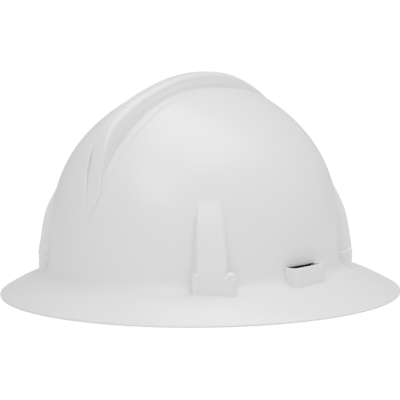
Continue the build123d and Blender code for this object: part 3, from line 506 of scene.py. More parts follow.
def strap_line(first, second, lift, steps=150):
    """Middle line of a crown strap with its width direction and its direction of travel: upright behind the key
    plates, and between them a superellipse over the crown."""
    ends = []
    for angle in (first, second):
        place, out, _ = station(angle)
        reach = plan_distance(place, out, BAND_HALF_X + BAND_THICK, BAND_HALF_Y + BAND_THICK, BAND_Y) - TAB_GAP - KEY_PLATE_THICK - STRAP_KEY_GAP - STRAP_THICK / 2
        ends.append((place - out * reach, out))
    (start, out_a), (finish, out_b) = ends
    up = np.array([0.0, 0.0, 1.0])
    end_a, end_b = np.array([-out_a[1], out_a[0], 0]), np.array([out_b[1], -out_b[0], 0])
    middle, ahead = (start + finish) / 2, (start - finish) / 2
    plain = np.array([-ahead[1], ahead[0], 0]) / np.hypot(*ahead[:2])
    rise = STRAP_PEAK + lift - KEY_PLATE_TOP
    turn = np.linspace(0, pi, steps)[:, None]
    c, s = np.cos(turn), np.clip(np.sin(turn), 0, 1)
    arch = middle + ahead * np.sign(c) * np.abs(c) ** (2 / STRAP_ROUND)
    arch = arch + up * (KEY_PLATE_TOP + rise * s ** (2 / STRAP_ROUND))
    slope = up * rise * c - ahead * s
    slope /= np.linalg.norm(slope, axis=1)[:, None]
    across = np.where(c > 0, end_a, end_b) * np.abs(c) + plain * (1 - np.abs(c))
    post = np.linspace(STRAP_START, KEY_PLATE_TOP, 12, endpoint=False)[:, None]
    line = np.concatenate([start + up * post, arch, finish + up * post[::-1]])
    slope = np.concatenate([up + 0 * post, slope, -up + 0 * post])
    across = np.concatenate([end_a + 0 * post, across, end_b + 0 * post])
    across -= slope * (across * slope).sum(axis=1)[:, None]
    across /= np.linalg.norm(across, axis=1)[:, None]
    return line, across, slope


def webbing(line, across, slope):
    """Flat strap along a line: its section is a thin rectangle with half round edges and a faint swell in its
    middle. Returns the patch and the place of each point on the flat cloth."""
    half = STRAP_THICK / 2
    arc = np.linspace(-pi / 2, pi / 2, 5)
    flat = np.linspace(-1, 1, 13)[1:-1] * (STRAP_WIDTH / 2 - half)
    swell = half - 0.12 + 0.12 * np.cos(np.linspace(-1, 1, 13)[1:-1] * pi / 2)
    u = np.concatenate([flat, STRAP_WIDTH / 2 - half + half * np.cos(arc[::-1]), flat[::-1],
                        half - STRAP_WIDTH / 2 - half * np.cos(arc[::-1])])
    v = np.concatenate([swell, half * np.sin(arc[::-1]), -swell[::-1], -half * np.sin(arc[::-1])])
    u, v = np.append(u, u[0]), np.append(v, v[0])
    normal = np.cross(slope, across)
    rows = line[:, None] + across[:, None] * u[None, :, None] + normal[:, None] * v[None, :, None]
    rows = np.concatenate([line[None, :1] + 0 * rows[:1], rows, line[None, -1:] + 0 * rows[:1]])
    run = np.concatenate([[0], np.cumsum(np.linalg.norm(np.diff(line, axis=0), axis=1))])
    run = np.concatenate([run[:1], run, run[-1:]])
    cloth = np.stack(np.broadcast_arrays(run[:, None], u[None, :]), axis=-1).reshape(-1, 2) * MM
    return patch(rows, flip=True), cloth


def stitches(line, across, slope, first, last):
    """Box of thread stitches with a cross in it, sewn through a strap between two places along its line: short
    ellipsoids laid end to end."""
    middle = (first + last) / 2
    i = int(middle)
    centre, way, travel = line[i], across[i], slope[i]
    normal = np.cross(travel, way)
    half_u, half_v, pitch = STRAP_WIDTH / 2 - 2.2, np.linalg.norm(line[last] - line[first]) / 2, 1.7
    corners = np.array([(-half_u, -half_v), (half_u, -half_v), (half_u, half_v), (-half_u, half_v)])
    made = []
    for a, b in ((0, 1), (1, 2), (2, 3), (3, 0), (0, 2), (1, 3)):
        run = corners[b] - corners[a]
        count = max(int(np.hypot(*run) / pitch), 1)
        step = run / count
        long_way = (way * step[0] + travel * step[1]) * 0.38
        short_way = np.cross(normal, long_way)
        short_way *= 0.28 / np.linalg.norm(short_way)
        for k in range(count):
            u, v = corners[a] + step * (k + 0.5)
            for face in (1, -1):
                spot = centre + way * u + travel * v + normal * (face * (STRAP_THICK / 2 + 0.02))
                made.append(ellipsoid(spot, (long_way, short_way, normal * 0.22), rings=5, columns=6))
    return made


def arm_path(sign):
    """Plan view of a nape arm from its rounded front end to the rack: a straight, then a quarter of an ellipse,
    then a straight across the rear. Returns the middle line and its outward normals."""
    face_x = BAND_HALF_X + BAND_THICK
    face_x = face_x * (1 - ((ARM_PIVOT_Y - ARM_TALL / 2 - BAND_Y) / (BAND_HALF_Y + BAND_THICK)) ** 2) ** 0.5 + ARM_GAP
    layer = 0.0 if sign > 0 else ARM_THICK + 0.3
    middle_x, middle_y = face_x + ARM_THICK / 2, REAR_FACE_Y + layer + ARM_THICK / 2
    turn = np.linspace(0, pi / 2, 60)
    x = ARM_CORNER_X + (middle_x - ARM_CORNER_X) * np.cos(turn)
    y = ARM_PIVOT_Y + (middle_y - ARM_PIVOT_Y) * np.sin(turn)
    front = np.linspace(ARM_PIVOT_Y - ARM_TALL / 2, ARM_PIVOT_Y, 12, endpoint=False)
    line = np.stack([np.concatenate([np.full(12, middle_x), x]), np.concatenate([front, y])], axis=-1)
    way = np.gradient(line, axis=0)
    way /= np.linalg.norm(way, axis=1)[:, None]
    normal = np.stack([way[:, 1], -way[:, 0]], axis=-1)
    return line * (sign, 1), normal * (sign, 1)


def arm_strip(sign):
    """The strip of a nape arm: a flat section with round edges and a raised bead along its middle, whose
    height closes to a half circle at the front end round the pivot."""
    line, normal = arm_path(sign)
    run = line[:, 1] - (ARM_PIVOT_Y - ARM_TALL / 2)
    tall = ARM_TALL / 2 * np.sqrt(np.clip(1 - (1 - run / (ARM_TALL / 2)) ** 2, 0, 1))
    tall[run > ARM_TALL / 2] = ARM_TALL / 2
    share = np.linspace(-1, 1, 19)
    bead = 0.14 * np.exp(-(share / 0.22) ** 2)
    edge = np.sqrt(np.clip(1 - np.abs(share) ** 14, 0, 1))
    half = (ARM_THICK / 2 - 0.14) * edge + bead
    depth = np.concatenate([half, -half[::-1][1:-1]])
    height = np.concatenate([share, share[::-1][1:-1]])
    xy = line[:, None] + normal[:, None] * depth[None, :, None]
    z = ARM_LOW + ARM_TALL / 2 + tall[:, None] * height[None, :]
    rows = np.concatenate([xy, z[..., None]], axis=-1)
    cap = np.concatenate([line[-1], [ARM_LOW + ARM_TALL / 2]])
    rows = np.concatenate([rows, np.broadcast_to(cap, rows[-1:].shape)])
    return patch(rows, wrap_cols=True, flip=sign < 0)


def bar(x, low, high, y_near, y_far, sign):
    """Straight bar across the rear whose lower and upper edges are functions of x: a box section carried along x."""
    section = np.stack([np.stack([np.full_like(x, y_near), low], -1), np.stack([np.full_like(x, y_far), low], -1),
                        np.stack([np.full_like(x, y_far), high], -1), np.stack([np.full_like(x, y_near), high], -1)], 1)
    rows = np.concatenate([np.broadcast_to((x * sign)[:, None, None], section.shape[:2] + (1,)), section], axis=-1)
    middle = rows.mean(axis=1, keepdims=True) + 0 * rows
    return patch(np.concatenate([middle[:1], rows, middle[-1:]]), wrap_cols=True, flip=sign > 0)


def rack(sign):
    """Rack at the end of a nape arm: two long edges joined at both ends, one of them toothed towards the pinion.
    A tooth is a clipped triangle wave along x."""
    layer = 0.0 if sign > 0 else ARM_THICK + 0.3
    near, far = REAR_FACE_Y + layer, REAR_FACE_Y + layer + ARM_THICK
    pitch_radius, pitch = PINION_TEETH * TOOTH_MODULE / 2, pi * TOOTH_MODULE
    inner, outer = ARM_CORNER_X - RACK_LENGTH, ARM_CORNER_X
    left, right = inner + RACK_TALL / 4, outer - RACK_TALL / 2
    x = np.linspace(left, right, 260)
    wave = np.abs((x / pitch + 0.5) % 1 - 0.5) * 4 - 1
    deep = pitch_radius + TOOTH_MODULE + 2 * BACKLASH
    tooth = np.clip(pitch_radius + TOOTH_MODULE * wave * 1.9, pitch_radius - TOOTH_MODULE, deep)
    plain = pitch_radius + 2 * TOOTH_MODULE
    side = RACK_TALL / 2 + 0 * x
    toothed, straight = (tooth, side), (plain + 0 * x, side)
    upper, lower = (toothed, straight) if sign > 0 else (straight, toothed)
    made = [bar(x, RATCHET_Z + upper[0], RATCHET_Z + upper[1], near, far, sign),
            bar(x, RATCHET_Z - lower[1], RATCHET_Z - lower[0], near, far, sign)]
    for a, b in ((inner, left + 0.01), (right - 0.01, outer)):
        ends = np.linspace(a, b, 4)
        made.append(bar(ends, RATCHET_Z - RACK_TALL / 2 + 0 * ends, RATCHET_Z + RACK_TALL / 2 + 0 * ends, near, far,
                        sign))
    return made


def slab(place, across, half_u, half_v, thick, corner, edge, steps=90, rings=26):
    """Flat closed slab with rounded corners and rounded edges, laid on a surface. In the slab's own plane, rings
    shrink from its outline to its middle, and its thickness falls off at the edge as a quarter circle. Place turns
    (u, v, depth) into a point."""
    grow = np.concatenate([np.linspace(0, 1, rings) ** 0.8, np.linspace(1, 0, rings)[1:] ** 0.8])
    front = np.concatenate([np.ones(rings, bool), np.zeros(rings - 1, bool)])
    turn = np.linspace(0, 2 * pi, steps * 4, endpoint=False)
    bend = np.abs(np.cos(turn)) ** across + np.abs(np.sin(turn)) ** across
    ring_u = half_u * np.cos(turn) / bend ** (1 / across)
    ring_v = half_v * np.sin(turn) / bend ** (1 / across)
    distance = (1 - grow) * corner
    rise = np.sqrt(np.clip(1 - (1 - np.clip(distance / edge, 0, 1)) ** 2, 0, 1))
    middle = thick / 2
    depth = np.where(front, middle + middle * rise, middle - middle * rise)
    points = place(grow[:, None] * ring_u, grow[:, None] * ring_v, depth[:, None] + 0 * ring_u)
    return patch(points, wrap_cols=True, flip=True)


def brow_place(u, v, depth):
    """Point of the brow pad: u degrees round from the front, v up from its middle, and depth inwards from the
    headband's inner face, where the band is an ellipse in plan."""
    turn = np.radians(u)
    half_x, half_y = BAND_HALF_X - PAD_GAP - depth, BAND_HALF_Y - PAD_GAP - depth
    return np.stack([half_x * np.sin(turn), BAND_Y - half_y * np.cos(turn), (PAD_LOW + PAD_HIGH) / 2 + v], axis=-1)


def nape_place(u, v, depth):
    """Point of the nape pad: u across, v up from its middle, and depth forwards from the ratchet's cover."""
    return np.stack([-u, NAPE_BACK_Y - depth, RATCHET_Z + v], axis=-1)


def brow_spot(points):
    """Opposite of brow_place: the turn, height and depth of points in millimetres."""
    x, y = points[:, 0], BAND_Y - points[:, 1]
    turn = np.arctan2(x / BAND_HALF_X, y / BAND_HALF_Y)
    inward = np.hypot(x, y) / np.hypot(BAND_HALF_X * np.sin(turn), BAND_HALF_Y * np.cos(turn))
    depth = (1 - inward) * np.hypot(BAND_HALF_X * np.sin(turn), BAND_HALF_Y * np.cos(turn)) - PAD_GAP
    return np.degrees(turn), points[:, 2] - (PAD_LOW + PAD_HIGH) / 2, depth


def nape_spot(points):
    """Opposite of nape_place."""
    return -points[:, 0], points[:, 2] - RATCHET_Z, NAPE_BACK_Y - points[:, 1]


def mesh_points(mesh):
    points = np.empty(len(mesh.vertices) * 3, np.float32)
    mesh.vertices.foreach_get("co", points)
    return points.reshape(-1, 3).astype(float)


def stuffed(name, patches, material, spot, seams, along, thick, cap, voxel=1.2):
    """A stuffed pad: the slab is remeshed, blown up as cloth that is held at its back, its rim and its seams, and
    smoothed by one subdivision. It is simulated at four times its size, where cloth behaves well, and brought
    back. A point moves no further than cap. Seams gives the distance to the nearest seam for a turn and height."""
    grow = 4.0
    obj = make_piece(name, patches, material, scale=MM * grow)
    remesh = obj.modifiers.new("even", "REMESH")
    remesh.mode, remesh.voxel_size, remesh.use_smooth_shade = "VOXEL", voxel * MM * grow, True
    settle(obj)
    start = mesh_points(obj.data)
    u, v, depth = spot(start / (MM * grow))
    held = (depth < thick * 0.55) | (seams(u, v) < 0.75)
    group = obj.vertex_groups.new(name="held")
    group.add([int(i) for i in np.flatnonzero(held)], 1.0, "REPLACE")
    cloth = obj.modifiers.new("stuffing", "CLOTH")
    cloth.settings.vertex_group_mass = "held"
    cloth.settings.use_pressure = True
    cloth.settings.uniform_pressure_force = 4.0
    cloth.settings.effector_weights.gravity = 0
    cloth.settings.quality = 6
    cloth.settings.mass = 0.2
    cloth.settings.tension_stiffness = cloth.settings.compression_stiffness = 6
    for index in range(1, 21):
        bpy.context.scene.frame_set(index)
    settle(obj)
    bpy.context.scene.frame_set(1)
    end = mesh_points(obj.data)
    move = end - start
    far = np.linalg.norm(move, axis=1)[:, None]
    limit = cap * MM * grow
    move *= limit * np.tanh(far / limit) / np.maximum(far, 1e-9)
    start = start + move
    obj.vertex_groups.clear()
    obj.data.vertices.foreach_set("co", (start / grow).astype(np.float32).ravel())
    smooth = obj.modifiers.new("smooth", "SUBSURF")
    smooth.levels = smooth.render_levels = 1
    settle(obj)
    u, v, _ = spot(mesh_points(obj.data) / MM)
    flat = np.stack([u * along, v], axis=-1) * MM
    corner = np.empty(len(obj.data.loops), np.int32)
    obj.data.loops.foreach_get("vertex_index", corner)
    obj.data.uv_layers.new(name="cloth").data.foreach_set("uv", flat[corner].astype(np.float32).ravel())
    obj.data.update()
    return obj


def settle(obj):
    """Applies a piece's modifiers: the evaluated mesh becomes its own mesh."""
    bpy.context.view_layer.update()
    shape = bpy.data.meshes.new_from_object(obj.evaluated_get(bpy.context.evaluated_depsgraph_get()))
    old = obj.data
    obj.modifiers.clear()
    obj.data = shape
    shape.polygons.foreach_set("use_smooth", np.ones(len(shape.polygons), dtype=bool))
    bpy.data.meshes.remove(old)


def sewn(place, lines, depth, pitch, along=1.0):
    """Thread along straight seams given by their ends as (u, v): short ellipsoids laid end to end, half sunk."""
    made = []
    for start, end in lines:
        start, end = np.array(start), np.array(end)
        length = np.hypot(*((end - start) * (along, 1)))
        count = max(int(length / pitch), 1)
        share = (np.arange(count) + 0.5) / count
        spots = start + (end - start) * share[:, None]
        centre = place(spots[:, 0], spots[:, 1], depth + 0 * share)
        step = (end - start) / count * 0.4
        ahead = place(spots[:, 0] + step[0], spots[:, 1] + step[1], depth + 0 * share) - centre
        inward = place(spots[:, 0], spots[:, 1], depth + 0.2 + 0 * share) - centre
        for c, a, n in zip(centre, ahead, inward):
            side = np.cross(n, a)
            made.append(ellipsoid(c, (a, side * 0.24 / np.linalg.norm(side), n), rings=5, columns=6))
    return made


def principled(name, color, roughness, **sockets):
    """A material with one Principled shader, plain values set on its own sockets."""
    material = bpy.data.materials.new(name)
    material.use_nodes = True
    shader = material.node_tree.nodes["Principled BSDF"]
    shader.inputs["Base Color"].default_value = (*color, 1)
    shader.inputs["Roughness"].default_value = roughness
    for socket, value in sockets.items():
        shader.inputs[socket.replace("_", " ")].default_value = value
    return material


def moulded_group():
    """Node group for moulded plastic: faint cloudiness of the colour and the gloss, and fine grain of the surface."""
    group = bpy.data.node_groups.new("moulded_surface", "ShaderNodeTree")
    for name, kind, value in (("Color", "NodeSocketColor", (0.8, 0.8, 0.8, 1)), ("Roughness", "NodeSocketFloat", 0.35),
                              ("Grain", "NodeSocketFloat", 0.05), ("Cloud", "NodeSocketFloat", 0.02),
                              ("Grain Scale", "NodeSocketFloat", 900.0)):
        group.interface.new_socket(name, in_out="INPUT", socket_type=kind).default_value = value
    for name, kind in (("Color", "NodeSocketColor"), ("Roughness", "NodeSocketFloat"), ("Normal", "NodeSocketVector")):
        group.interface.new_socket(name, in_out="OUTPUT", socket_type=kind)
    n, link = group.nodes, group.links.new
    ins, outs = n.new("NodeGroupInput"), n.new("NodeGroupOutput")
    coords = n.new("ShaderNodeTexCoord")
    cloud, grain = n.new("ShaderNodeTexNoise"), n.new("ShaderNodeTexNoise")
    cloud.inputs["Scale"].default_value = 16
    cloud.inputs["Detail"].default_value = 3
    grain.inputs["Detail"].default_value = 2
    link(coords.outputs["Object"], cloud.inputs["Vector"])
    link(coords.outputs["Object"], grain.inputs["Vector"])
    link(ins.outputs["Grain Scale"], grain.inputs["Scale"])
    shift = n.new("ShaderNodeMath"); shift.operation = "SUBTRACT"; shift.inputs[1].default_value = 0.5
    link(cloud.outputs["Fac"], shift.inputs[0])
    amount = n.new("ShaderNodeMath"); amount.operation = "MULTIPLY_ADD"; amount.inputs[2].default_value = 1.0
    link(shift.outputs[0], amount.inputs[0]); link(ins.outputs["Cloud"], amount.inputs[1])
    tint = n.new("ShaderNodeVectorMath"); tint.operation = "SCALE"
    link(ins.outputs["Color"], tint.inputs[0]); link(amount.outputs[0], tint.inputs["Scale"])
    link(tint.outputs[0], outs.inputs["Color"])
    rough = n.new("ShaderNodeMath"); rough.operation = "MULTIPLY_ADD"; rough.inputs[1].default_value = 0.12
    link(shift.outputs[0], rough.inputs[0]); link(ins.outputs["Roughness"], rough.inputs[2])
    link(rough.outputs[0], outs.inputs["Roughness"])
    bump = n.new("ShaderNodeBump"); bump.inputs["Distance"].default_value = 0.0002
    link(ins.outputs["Grain"], bump.inputs["Strength"]); link(grain.outputs["Fac"], bump.inputs["Height"])
    link(bump.outputs["Normal"], outs.inputs["Normal"])
    return group


MOULDED = moulded_group()


def moulded(name, color, roughness, grain=0.05, cloud=0.03, scale=900.0, **sockets):
    """Moulded plastic in one colour."""
    material = principled(name, color, roughness, **sockets)
    tree = material.node_tree
    node = tree.nodes.new("ShaderNodeGroup")
    node.node_tree = MOULDED
    for socket, value in (("Color", (*color, 1)), ("Roughness", roughness), ("Grain", grain), ("Cloud", cloud),
                          ("Grain Scale", scale)):
        node.inputs[socket].default_value = value
    shader = tree.nodes["Principled BSDF"]
    tree.links.new(node.outputs["Color"], shader.inputs["Base Color"])
    tree.links.new(node.outputs["Roughness"], shader.inputs["Roughness"])
    tree.links.new(node.outputs["Normal"], shader.inputs["Normal"])
    return material


shell_plastic = moulded("shell_plastic", (0.86, 0.862, 0.86), 0.34, grain=0.03, cloud=0.02, scale=700.0,
                        Coat_Weight=0.25, Coat_Roughness=0.2)

def weave_group():
    """Node group for woven webbing: threads over and under each other, each a half round, on the flat cloth, with
    painted shading that darkens the colour where the threads lie low.
    """
    group = bpy.data.node_groups.new("woven_threads", "ShaderNodeTree")
    for name, value in (("Long Pitch", 0.0012), ("Cross Pitch", 0.0009)):
        group.interface.new_socket(name, in_out="INPUT", socket_type="NodeSocketFloat").default_value = value
    for name in ("Height", "Wear And Painted Shade"):
        group.interface.new_socket(name, in_out="OUTPUT", socket_type="NodeSocketFloat")
    n, link = group.nodes, group.links.new
    ins, outs = n.new("NodeGroupInput"), n.new("NodeGroupOutput")
    cloth, parts = n.new("ShaderNodeUVMap"), n.new("ShaderNodeSeparateXYZ")
    cloth.uv_map = "cloth"
    link(cloth.outputs["UV"], parts.inputs[0])

    def math(kind, a, b=None, c=None):
        node = n.new("ShaderNodeMath")
        node.operation = kind
        for socket, value in zip(node.inputs, (a, b, c)):
            if isinstance(value, (int, float)):
                socket.default_value = value
            elif value is not None:
                link(value, socket)
        return node.outputs[0]

    u = math("DIVIDE", parts.outputs["X"], ins.outputs["Cross Pitch"])
    v = math("DIVIDE", parts.outputs["Y"], ins.outputs["Long Pitch"])
    cell = math("ADD", math("FLOOR", u), math("FLOOR", v))
    over = math("FLOORED_MODULO", cell, 2)
    across_u = math("MULTIPLY_ADD", math("FRACT", u), 2, -1)
    across_v = math("MULTIPLY_ADD", math("FRACT", v), 2, -1)
    round_u = math("SUBTRACT", 1, math("MULTIPLY", across_u, across_u))
    round_v = math("SUBTRACT", 1, math("MULTIPLY", across_v, across_v))
    long_thread = math("MULTIPLY", round_v, math("MULTIPLY_ADD", round_u, 0.45, 0.55))
    cross_thread = math("MULTIPLY", round_u, math("MULTIPLY_ADD", round_v, 0.45, 0.35))
    height = math("MAXIMUM", math("MULTIPLY", long_thread, over),
                  math("MULTIPLY", cross_thread, math("SUBTRACT", 1, over)))
    link(height, outs.inputs["Height"])
    # Painted shading: a colour factor from 0.62 in the hollows between threads to 1.17 on their tops.
    link(math("MULTIPLY_ADD", height, 0.55, 0.62), outs.inputs["Wear And Painted Shade"])
    return group


def fibre_group():
    """Node group for loose fibre: a fine noise for the surface and a slow one for worn, paler places."""
    group = bpy.data.node_groups.new("fibre_and_wear", "ShaderNodeTree")
    group.interface.new_socket("Wear", in_out="INPUT", socket_type="NodeSocketFloat").default_value = 0.15
    for name in ("Fibre", "Wear And Painted Shade"):
        group.interface.new_socket(name, in_out="OUTPUT", socket_type="NodeSocketFloat")
    n, link = group.nodes, group.links.new
    ins, outs, coords = n.new("NodeGroupInput"), n.new("NodeGroupOutput"), n.new("ShaderNodeTexCoord")
    fibre, wear = n.new("ShaderNodeTexNoise"), n.new("ShaderNodeTexNoise")
    fibre.inputs["Scale"].default_value = 2600
    wear.inputs["Scale"].default_value = 45
    link(coords.outputs["Object"], fibre.inputs["Vector"])
    link(coords.outputs["Object"], wear.inputs["Vector"])
    link(fibre.outputs["Fac"], outs.inputs["Fibre"])
    wear_and_painted_shade = n.new("ShaderNodeMath"); wear_and_painted_shade.operation = "MULTIPLY_ADD"; wear_and_painted_shade.inputs[2].default_value = 0.9
    link(wear.outputs["Fac"], wear_and_painted_shade.inputs[0]); link(ins.outputs["Wear"], wear_and_painted_shade.inputs[1])
    link(wear_and_painted_shade.outputs[0], outs.inputs["Wear And Painted Shade"])
    return group


WOVEN, FIBRE = weave_group(), fibre_group()


def cloth_material(name, color, roughness, long_pitch, cross_pitch, depth, wear, **sockets):
    """Woven or knitted cloth in one colour, with thread relief, loose fibre, faint wear and painted shading in the
    hollows between threads.
    """
    material = principled(name, color, roughness, **sockets)
    n, link = material.node_tree.nodes, material.node_tree.links.new
    woven, fibre = n.new("ShaderNodeGroup"), n.new("ShaderNodeGroup")
    woven.node_tree, fibre.node_tree = WOVEN, FIBRE
    woven.inputs["Long Pitch"].default_value, woven.inputs["Cross Pitch"].default_value = long_pitch, cross_pitch
    fibre.inputs["Wear"].default_value = wear
    # Colour scaled by the weave's painted shading, darker between threads, and by the fibre's paler worn places.
    wear_and_painted_shade = n.new("ShaderNodeMath"); wear_and_painted_shade.operation = "MULTIPLY"
    link(woven.outputs["Wear And Painted Shade"], wear_and_painted_shade.inputs[0]); link(fibre.outputs["Wear And Painted Shade"], wear_and_painted_shade.inputs[1])
    tint = n.new("ShaderNodeVectorMath"); tint.operation = "SCALE"; tint.inputs[0].default_value = color
    link(wear_and_painted_shade.outputs[0], tint.inputs["Scale"])
    link(tint.outputs[0], n["Principled BSDF"].inputs["Base Color"])
    relief = n.new("ShaderNodeMath"); relief.operation = "MULTIPLY_ADD"; relief.inputs[1].default_value = 0.25
    link(fibre.outputs["Fibre"], relief.inputs[0]); link(woven.outputs["Height"], relief.inputs[2])
    bump = n.new("ShaderNodeBump")
    bump.inputs["Strength"].default_value, bump.inputs["Distance"].default_value = 0.8, depth
    link(relief.outputs[0], bump.inputs["Height"]); link(bump.outputs["Normal"], n["Principled BSDF"].inputs["Normal"])
    return material


def brushed(name, color, roughness):
    """Bare or plated steel: fine drawn lines along one axis and faint cloudiness."""
    material = principled(name, color, roughness, Metallic=1.0)
    n, link = material.node_tree.nodes, material.node_tree.links.new
    coords, mapping, lines = n.new("ShaderNodeTexCoord"), n.new("ShaderNodeMapping"), n.new("ShaderNodeTexNoise")
    mapping.inputs["Scale"].default_value = (1, 1, 14)
    lines.inputs["Scale"].default_value, lines.inputs["Detail"].default_value = 420, 4
    link(coords.outputs["Object"], mapping.inputs["Vector"])
    link(mapping.outputs["Vector"], lines.inputs["Vector"])
    rough = n.new("ShaderNodeMapRange")
    rough.inputs["To Min"].default_value, rough.inputs["To Max"].default_value = roughness - 0.07, roughness + 0.1
    link(lines.outputs["Fac"], rough.inputs["Value"])
    link(rough.outputs["Result"], n["Principled BSDF"].inputs["Roughness"])
    bump = n.new("ShaderNodeBump")
    bump.inputs["Strength"].default_value, bump.inputs["Distance"].default_value = 0.15, 0.0001
    link(lines.outputs["Fac"], bump.inputs["Height"]); link(bump.outputs["Normal"], n["Principled BSDF"].inputs["Normal"])
    return material


shell_patches = [pockets_open(slots_open(brim())), valley(0.0), valley(WALL, turns=160)]
for side in (1, -1):
    shell_patches += [slots_open(lobe(side, 0.0))]
    shell_patches += [pockets_open(slots_open(lobe(side, WALL, turns=160, columns=44)))]
    shell_patches += [slot_lip(side), slot_frame(side)]
    for angle, facing, shift in zip(STATION_ANGLES, BOSS_FACINGS, RIB_SHIFTS):
        shell_patches += boss(station(side * angle)[0], side * radians(facing), side * shift)
        shell_patches += pocket(*station(side * angle))
shell = make_piece("hat_shell", shell_patches, shell_plastic)
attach(shell, "hat")
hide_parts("shell")

# Finishes of the suspension
strap_webbing = cloth_material("strap_webbing", (0.10, 0.10, 0.105), 0.82, 0.0014, 0.0010, 0.00016, 0.2,
                               Sheen_Weight=0.25, Sheen_Roughness=0.5)
pad_fabric = cloth_material("pad_fabric", (0.07, 0.07, 0.075), 0.9, 0.0011, 0.0011, 0.00012, 0.25,
                            Sheen_Weight=0.4, Sheen_Roughness=0.6)
strap_thread = moulded("strap_thread", (0.22, 0.22, 0.225), 0.7, grain=0.4, cloud=0.1, scale=3000.0)
suspension_plastic = moulded("suspension_plastic", (0.12, 0.12, 0.125), 0.42, grain=0.22, cloud=0.06, scale=1500.0)
band_plastic = moulded("band_plastic", (0.16, 0.16, 0.165), 0.46, grain=0.3, cloud=0.06, scale=1500.0)
knob_plastic = moulded("knob_plastic", (0.10, 0.10, 0.105), 0.4, grain=0.25, cloud=0.06, scale=1500.0)
grip_rubber = moulded("grip_rubber", (0.05, 0.05, 0.05), 0.78, grain=0.5, cloud=0.1, scale=2200.0)
spring_steel = brushed("spring_steel", (0.62, 0.63, 0.65), 0.3)
screw_steel = brushed("screw_steel", (0.56, 0.57, 0.58), 0.34)

for material, names in ((suspension_plastic, ("key_front_left", "key_front_right", "key_rear_left", "key_rear_right",
                                              "pad_studs", "pivot_pin_left", "pivot_pin_right", "pinion")),
                        (band_plastic, ("headband",)), (grip_rubber, ("knob_grip",)), (spring_steel, ("click_spring",)),
                        (knob_plastic, ("ratchet_housing", "ratchet_cover", "knob")),
                        (screw_steel, ("knob_screw", "housing_screws"))):
    for name in names:
        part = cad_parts[name]
        if not part.material_slots:
            part.data.materials.append(material)
        for slot in part.material_slots:
            slot.material = material

# Crown straps, each with a stitched box at both ends
front_left, rear_left = STATION_ANGLES
for name, first, second, lift in (("crown_strap_lower", front_left, -rear_left, 0.0),
                                  ("crown_strap_upper", -front_left, rear_left, STRAP_THICK + STRAP_CROSSING)):
    line, across, slope = strap_line(first, second, lift)
    shape, flat_place = webbing(line, across, slope)
    strap = make_piece("webbing_" + name[12:], [shape], strap_webbing, weld=0.005, cloth=flat_place)
    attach(strap, "hat")
    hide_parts(name)
    last = len(line) - 1
    thread = make_piece("stitching_" + name[12:], stitches(line, across, slope, 13, 17)
                        + stitches(line, across, slope, last - 17, last - 13), strap_thread, weld=0.005)
    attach(thread, "hat")

# Nape arms
for side, name in ((1, "nape_arm_left"), (-1, "nape_arm_right")):
    arm = make_piece("bending_" + name, [arm_strip(side)] + rack(side), band_plastic, weld=0.002)
    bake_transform(arm)
    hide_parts(name)

# Pads: u is in degrees on the brow pad and in millimetres on the nape pad
BROW_ALONG = 1.55
brow_seams = [((u, -11.4), (u, 11.4)) for u in (-42.0, -25.2, -8.4, 8.4, 25.2, 42.0)]
brow_seams += [((-56.5, v), (56.5, v)) for v in (-11.6, 11.6)] + [((u, -11.6), (u, 11.6)) for u in (-56.5, 56.5)]
nape_seams = [((u, -7.6), (u, 7.6)) for u in (-13.0, 13.0)]
nape_seams += [((-24.0, v), (24.0, v)) for v in (-8.0, 8.0)]


def seam_distance(lines, along):
    """Distance in millimetres from a place on the flat cloth to the nearest of some straight seams."""
    def nearest(u, v):
        found = np.full(u.shape, 99.0)
        for (u0, v0), (u1, v1) in lines:
            du, dv = (u1 - u0) * along, v1 - v0
            t = np.clip(((u - u0) * along * du + (v - v0) * dv) / (du * du + dv * dv), 0, 1)
            found = np.minimum(found, np.hypot((u - u0) * along - t * du, v - v0 - t * dv))
        return found
    return nearest


brow_pad = stuffed("quilted_brow_pad", [slab(brow_place, 14, PAD_TURN, 13.4, 2.2, 13.4, 1.2)], pad_fabric, brow_spot,
                   seam_distance(brow_seams, BROW_ALONG), BROW_ALONG, 2.2, 1.5)
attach(brow_pad, "band")
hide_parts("brow_pad")
nape_pad = stuffed("quilted_nape_pad", [slab(nape_place, 4.5, NAPE_HALF_X - 0.1, NAPE_HALF_Z - 0.1, 1.9, 9.9, 1.0)],
                   pad_fabric, nape_spot, seam_distance(nape_seams, 1.0), 1.0, 1.9, 1.1)
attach(nape_pad, "ratchet")
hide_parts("nape_pad")
for name, body, threads in (("brow_pad_seams", "band", sewn(brow_place, brow_seams, 2.25, 2.2, BROW_ALONG)),
                            ("nape_pad_seams", "ratchet", sewn(nape_place, nape_seams, 1.95, 2.2))):
    seam = make_piece(name, threads, strap_thread, weld=0.005)
    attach(seam, body)


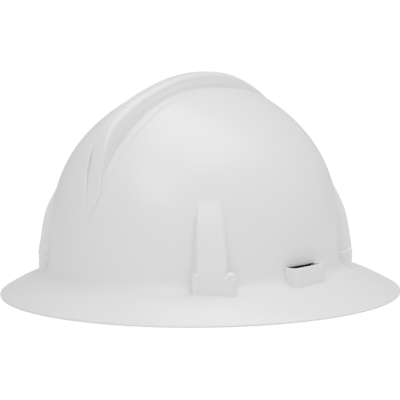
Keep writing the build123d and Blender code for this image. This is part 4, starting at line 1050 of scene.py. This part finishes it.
def studio():
    """White floor, white surroundings and soft lamps."""
    bpy.ops.mesh.primitive_plane_add(size=12, location=(0, 0, -0.0005))
    floor = bpy.context.object
    floor.name = "floor"
    material = bpy.data.materials.new("floor_white")
    material.use_nodes = True
    n, link = material.node_tree.nodes, material.node_tree.links.new
    shader = n["Principled BSDF"]
    shader.inputs["Base Color"].default_value = (0.9, 0.9, 0.9, 1)
    shader.inputs["Roughness"].default_value = 0.9
    glow = n.new("ShaderNodeEmission")
    glow.inputs["Strength"].default_value = 1.05
    mix, rays = n.new("ShaderNodeMixShader"), n.new("ShaderNodeLightPath")
    seen = n.new("ShaderNodeMath"); seen.operation = "MULTIPLY"; seen.inputs[1].default_value = 0.92
    link(rays.outputs["Is Camera Ray"], seen.inputs[0])
    link(seen.outputs[0], mix.inputs["Fac"])
    link(shader.outputs[0], mix.inputs[1])
    link(glow.outputs[0], mix.inputs[2])
    link(mix.outputs[0], n["Material Output"].inputs["Surface"])
    floor.data.materials.append(material)

    world = bpy.data.worlds.new("studio")
    bpy.context.scene.world = world
    world.use_nodes = True
    n, link = world.node_tree.nodes, world.node_tree.links.new
    back = n["Background"]
    back.inputs["Color"].default_value = (1.0, 1.0, 1.0, 1)
    back.inputs["Strength"].default_value = 0.59
    bright = n.new("ShaderNodeBackground")
    bright.inputs["Color"].default_value = (1, 1, 1, 1)
    mix, rays = n.new("ShaderNodeMixShader"), n.new("ShaderNodeLightPath")
    link(rays.outputs["Is Camera Ray"], mix.inputs["Fac"])
    link(back.outputs[0], mix.inputs[1])
    link(bright.outputs[0], mix.inputs[2])
    link(mix.outputs[0], n["World Output"].inputs["Surface"])

    for name, place, aim, size, power in (("lamp_front", (0.75, -1.35, 1.2), (0, 0, 0.08), 1.2, 5.0),
                                          ("lamp_top", (0.5, 0.2, 1.9), (0, 0, 0.08), 1.8, 9.5)):
        lamp = bpy.data.lights.new(name, "AREA")
        lamp.size, lamp.energy = size, power
        obj = bpy.data.objects.new(name, lamp)
        bpy.context.scene.collection.objects.link(obj)
        obj.location = place
        obj.rotation_euler = (Vector(aim) - Vector(place)).to_track_quat("-Z", "Y").to_euler()


def photo_camera():
    """The photograph's view: from the front and a little to the wearer's left, almost level."""
    turn, lift, roll, distance = radians(38.474), radians(5.8323), radians(0.3873), 1.21764
    back = Vector((sin(turn) * cos(lift), -cos(turn) * cos(lift), sin(lift)))
    right = Vector((cos(turn), sin(turn), 0))
    up = back.cross(right)
    right, up = cos(roll) * right + sin(roll) * up, -sin(roll) * right + cos(roll) * up
    aim = Vector((0, -0.00364, 0.0812))
    data = bpy.data.cameras.new("photo_camera")
    data.sensor_width = 36
    data.lens = 36 * 1.3911 * 1217.64 / 400
    data.shift_x = (200 - 200.139) / 400
    data.shift_y = (178.577 - 200) / 400
    data.clip_start, data.clip_end = 0.05, 50
    camera = bpy.data.objects.new("photo_camera", data)
    bpy.context.scene.collection.objects.link(camera)
    camera.matrix_world = Matrix((right, up, back)).transposed().to_4x4()
    camera.location = aim + back * distance
    bpy.context.scene.camera = camera


studio()
photo_camera()
bpy.context.scene.view_settings.view_transform = "Standard"
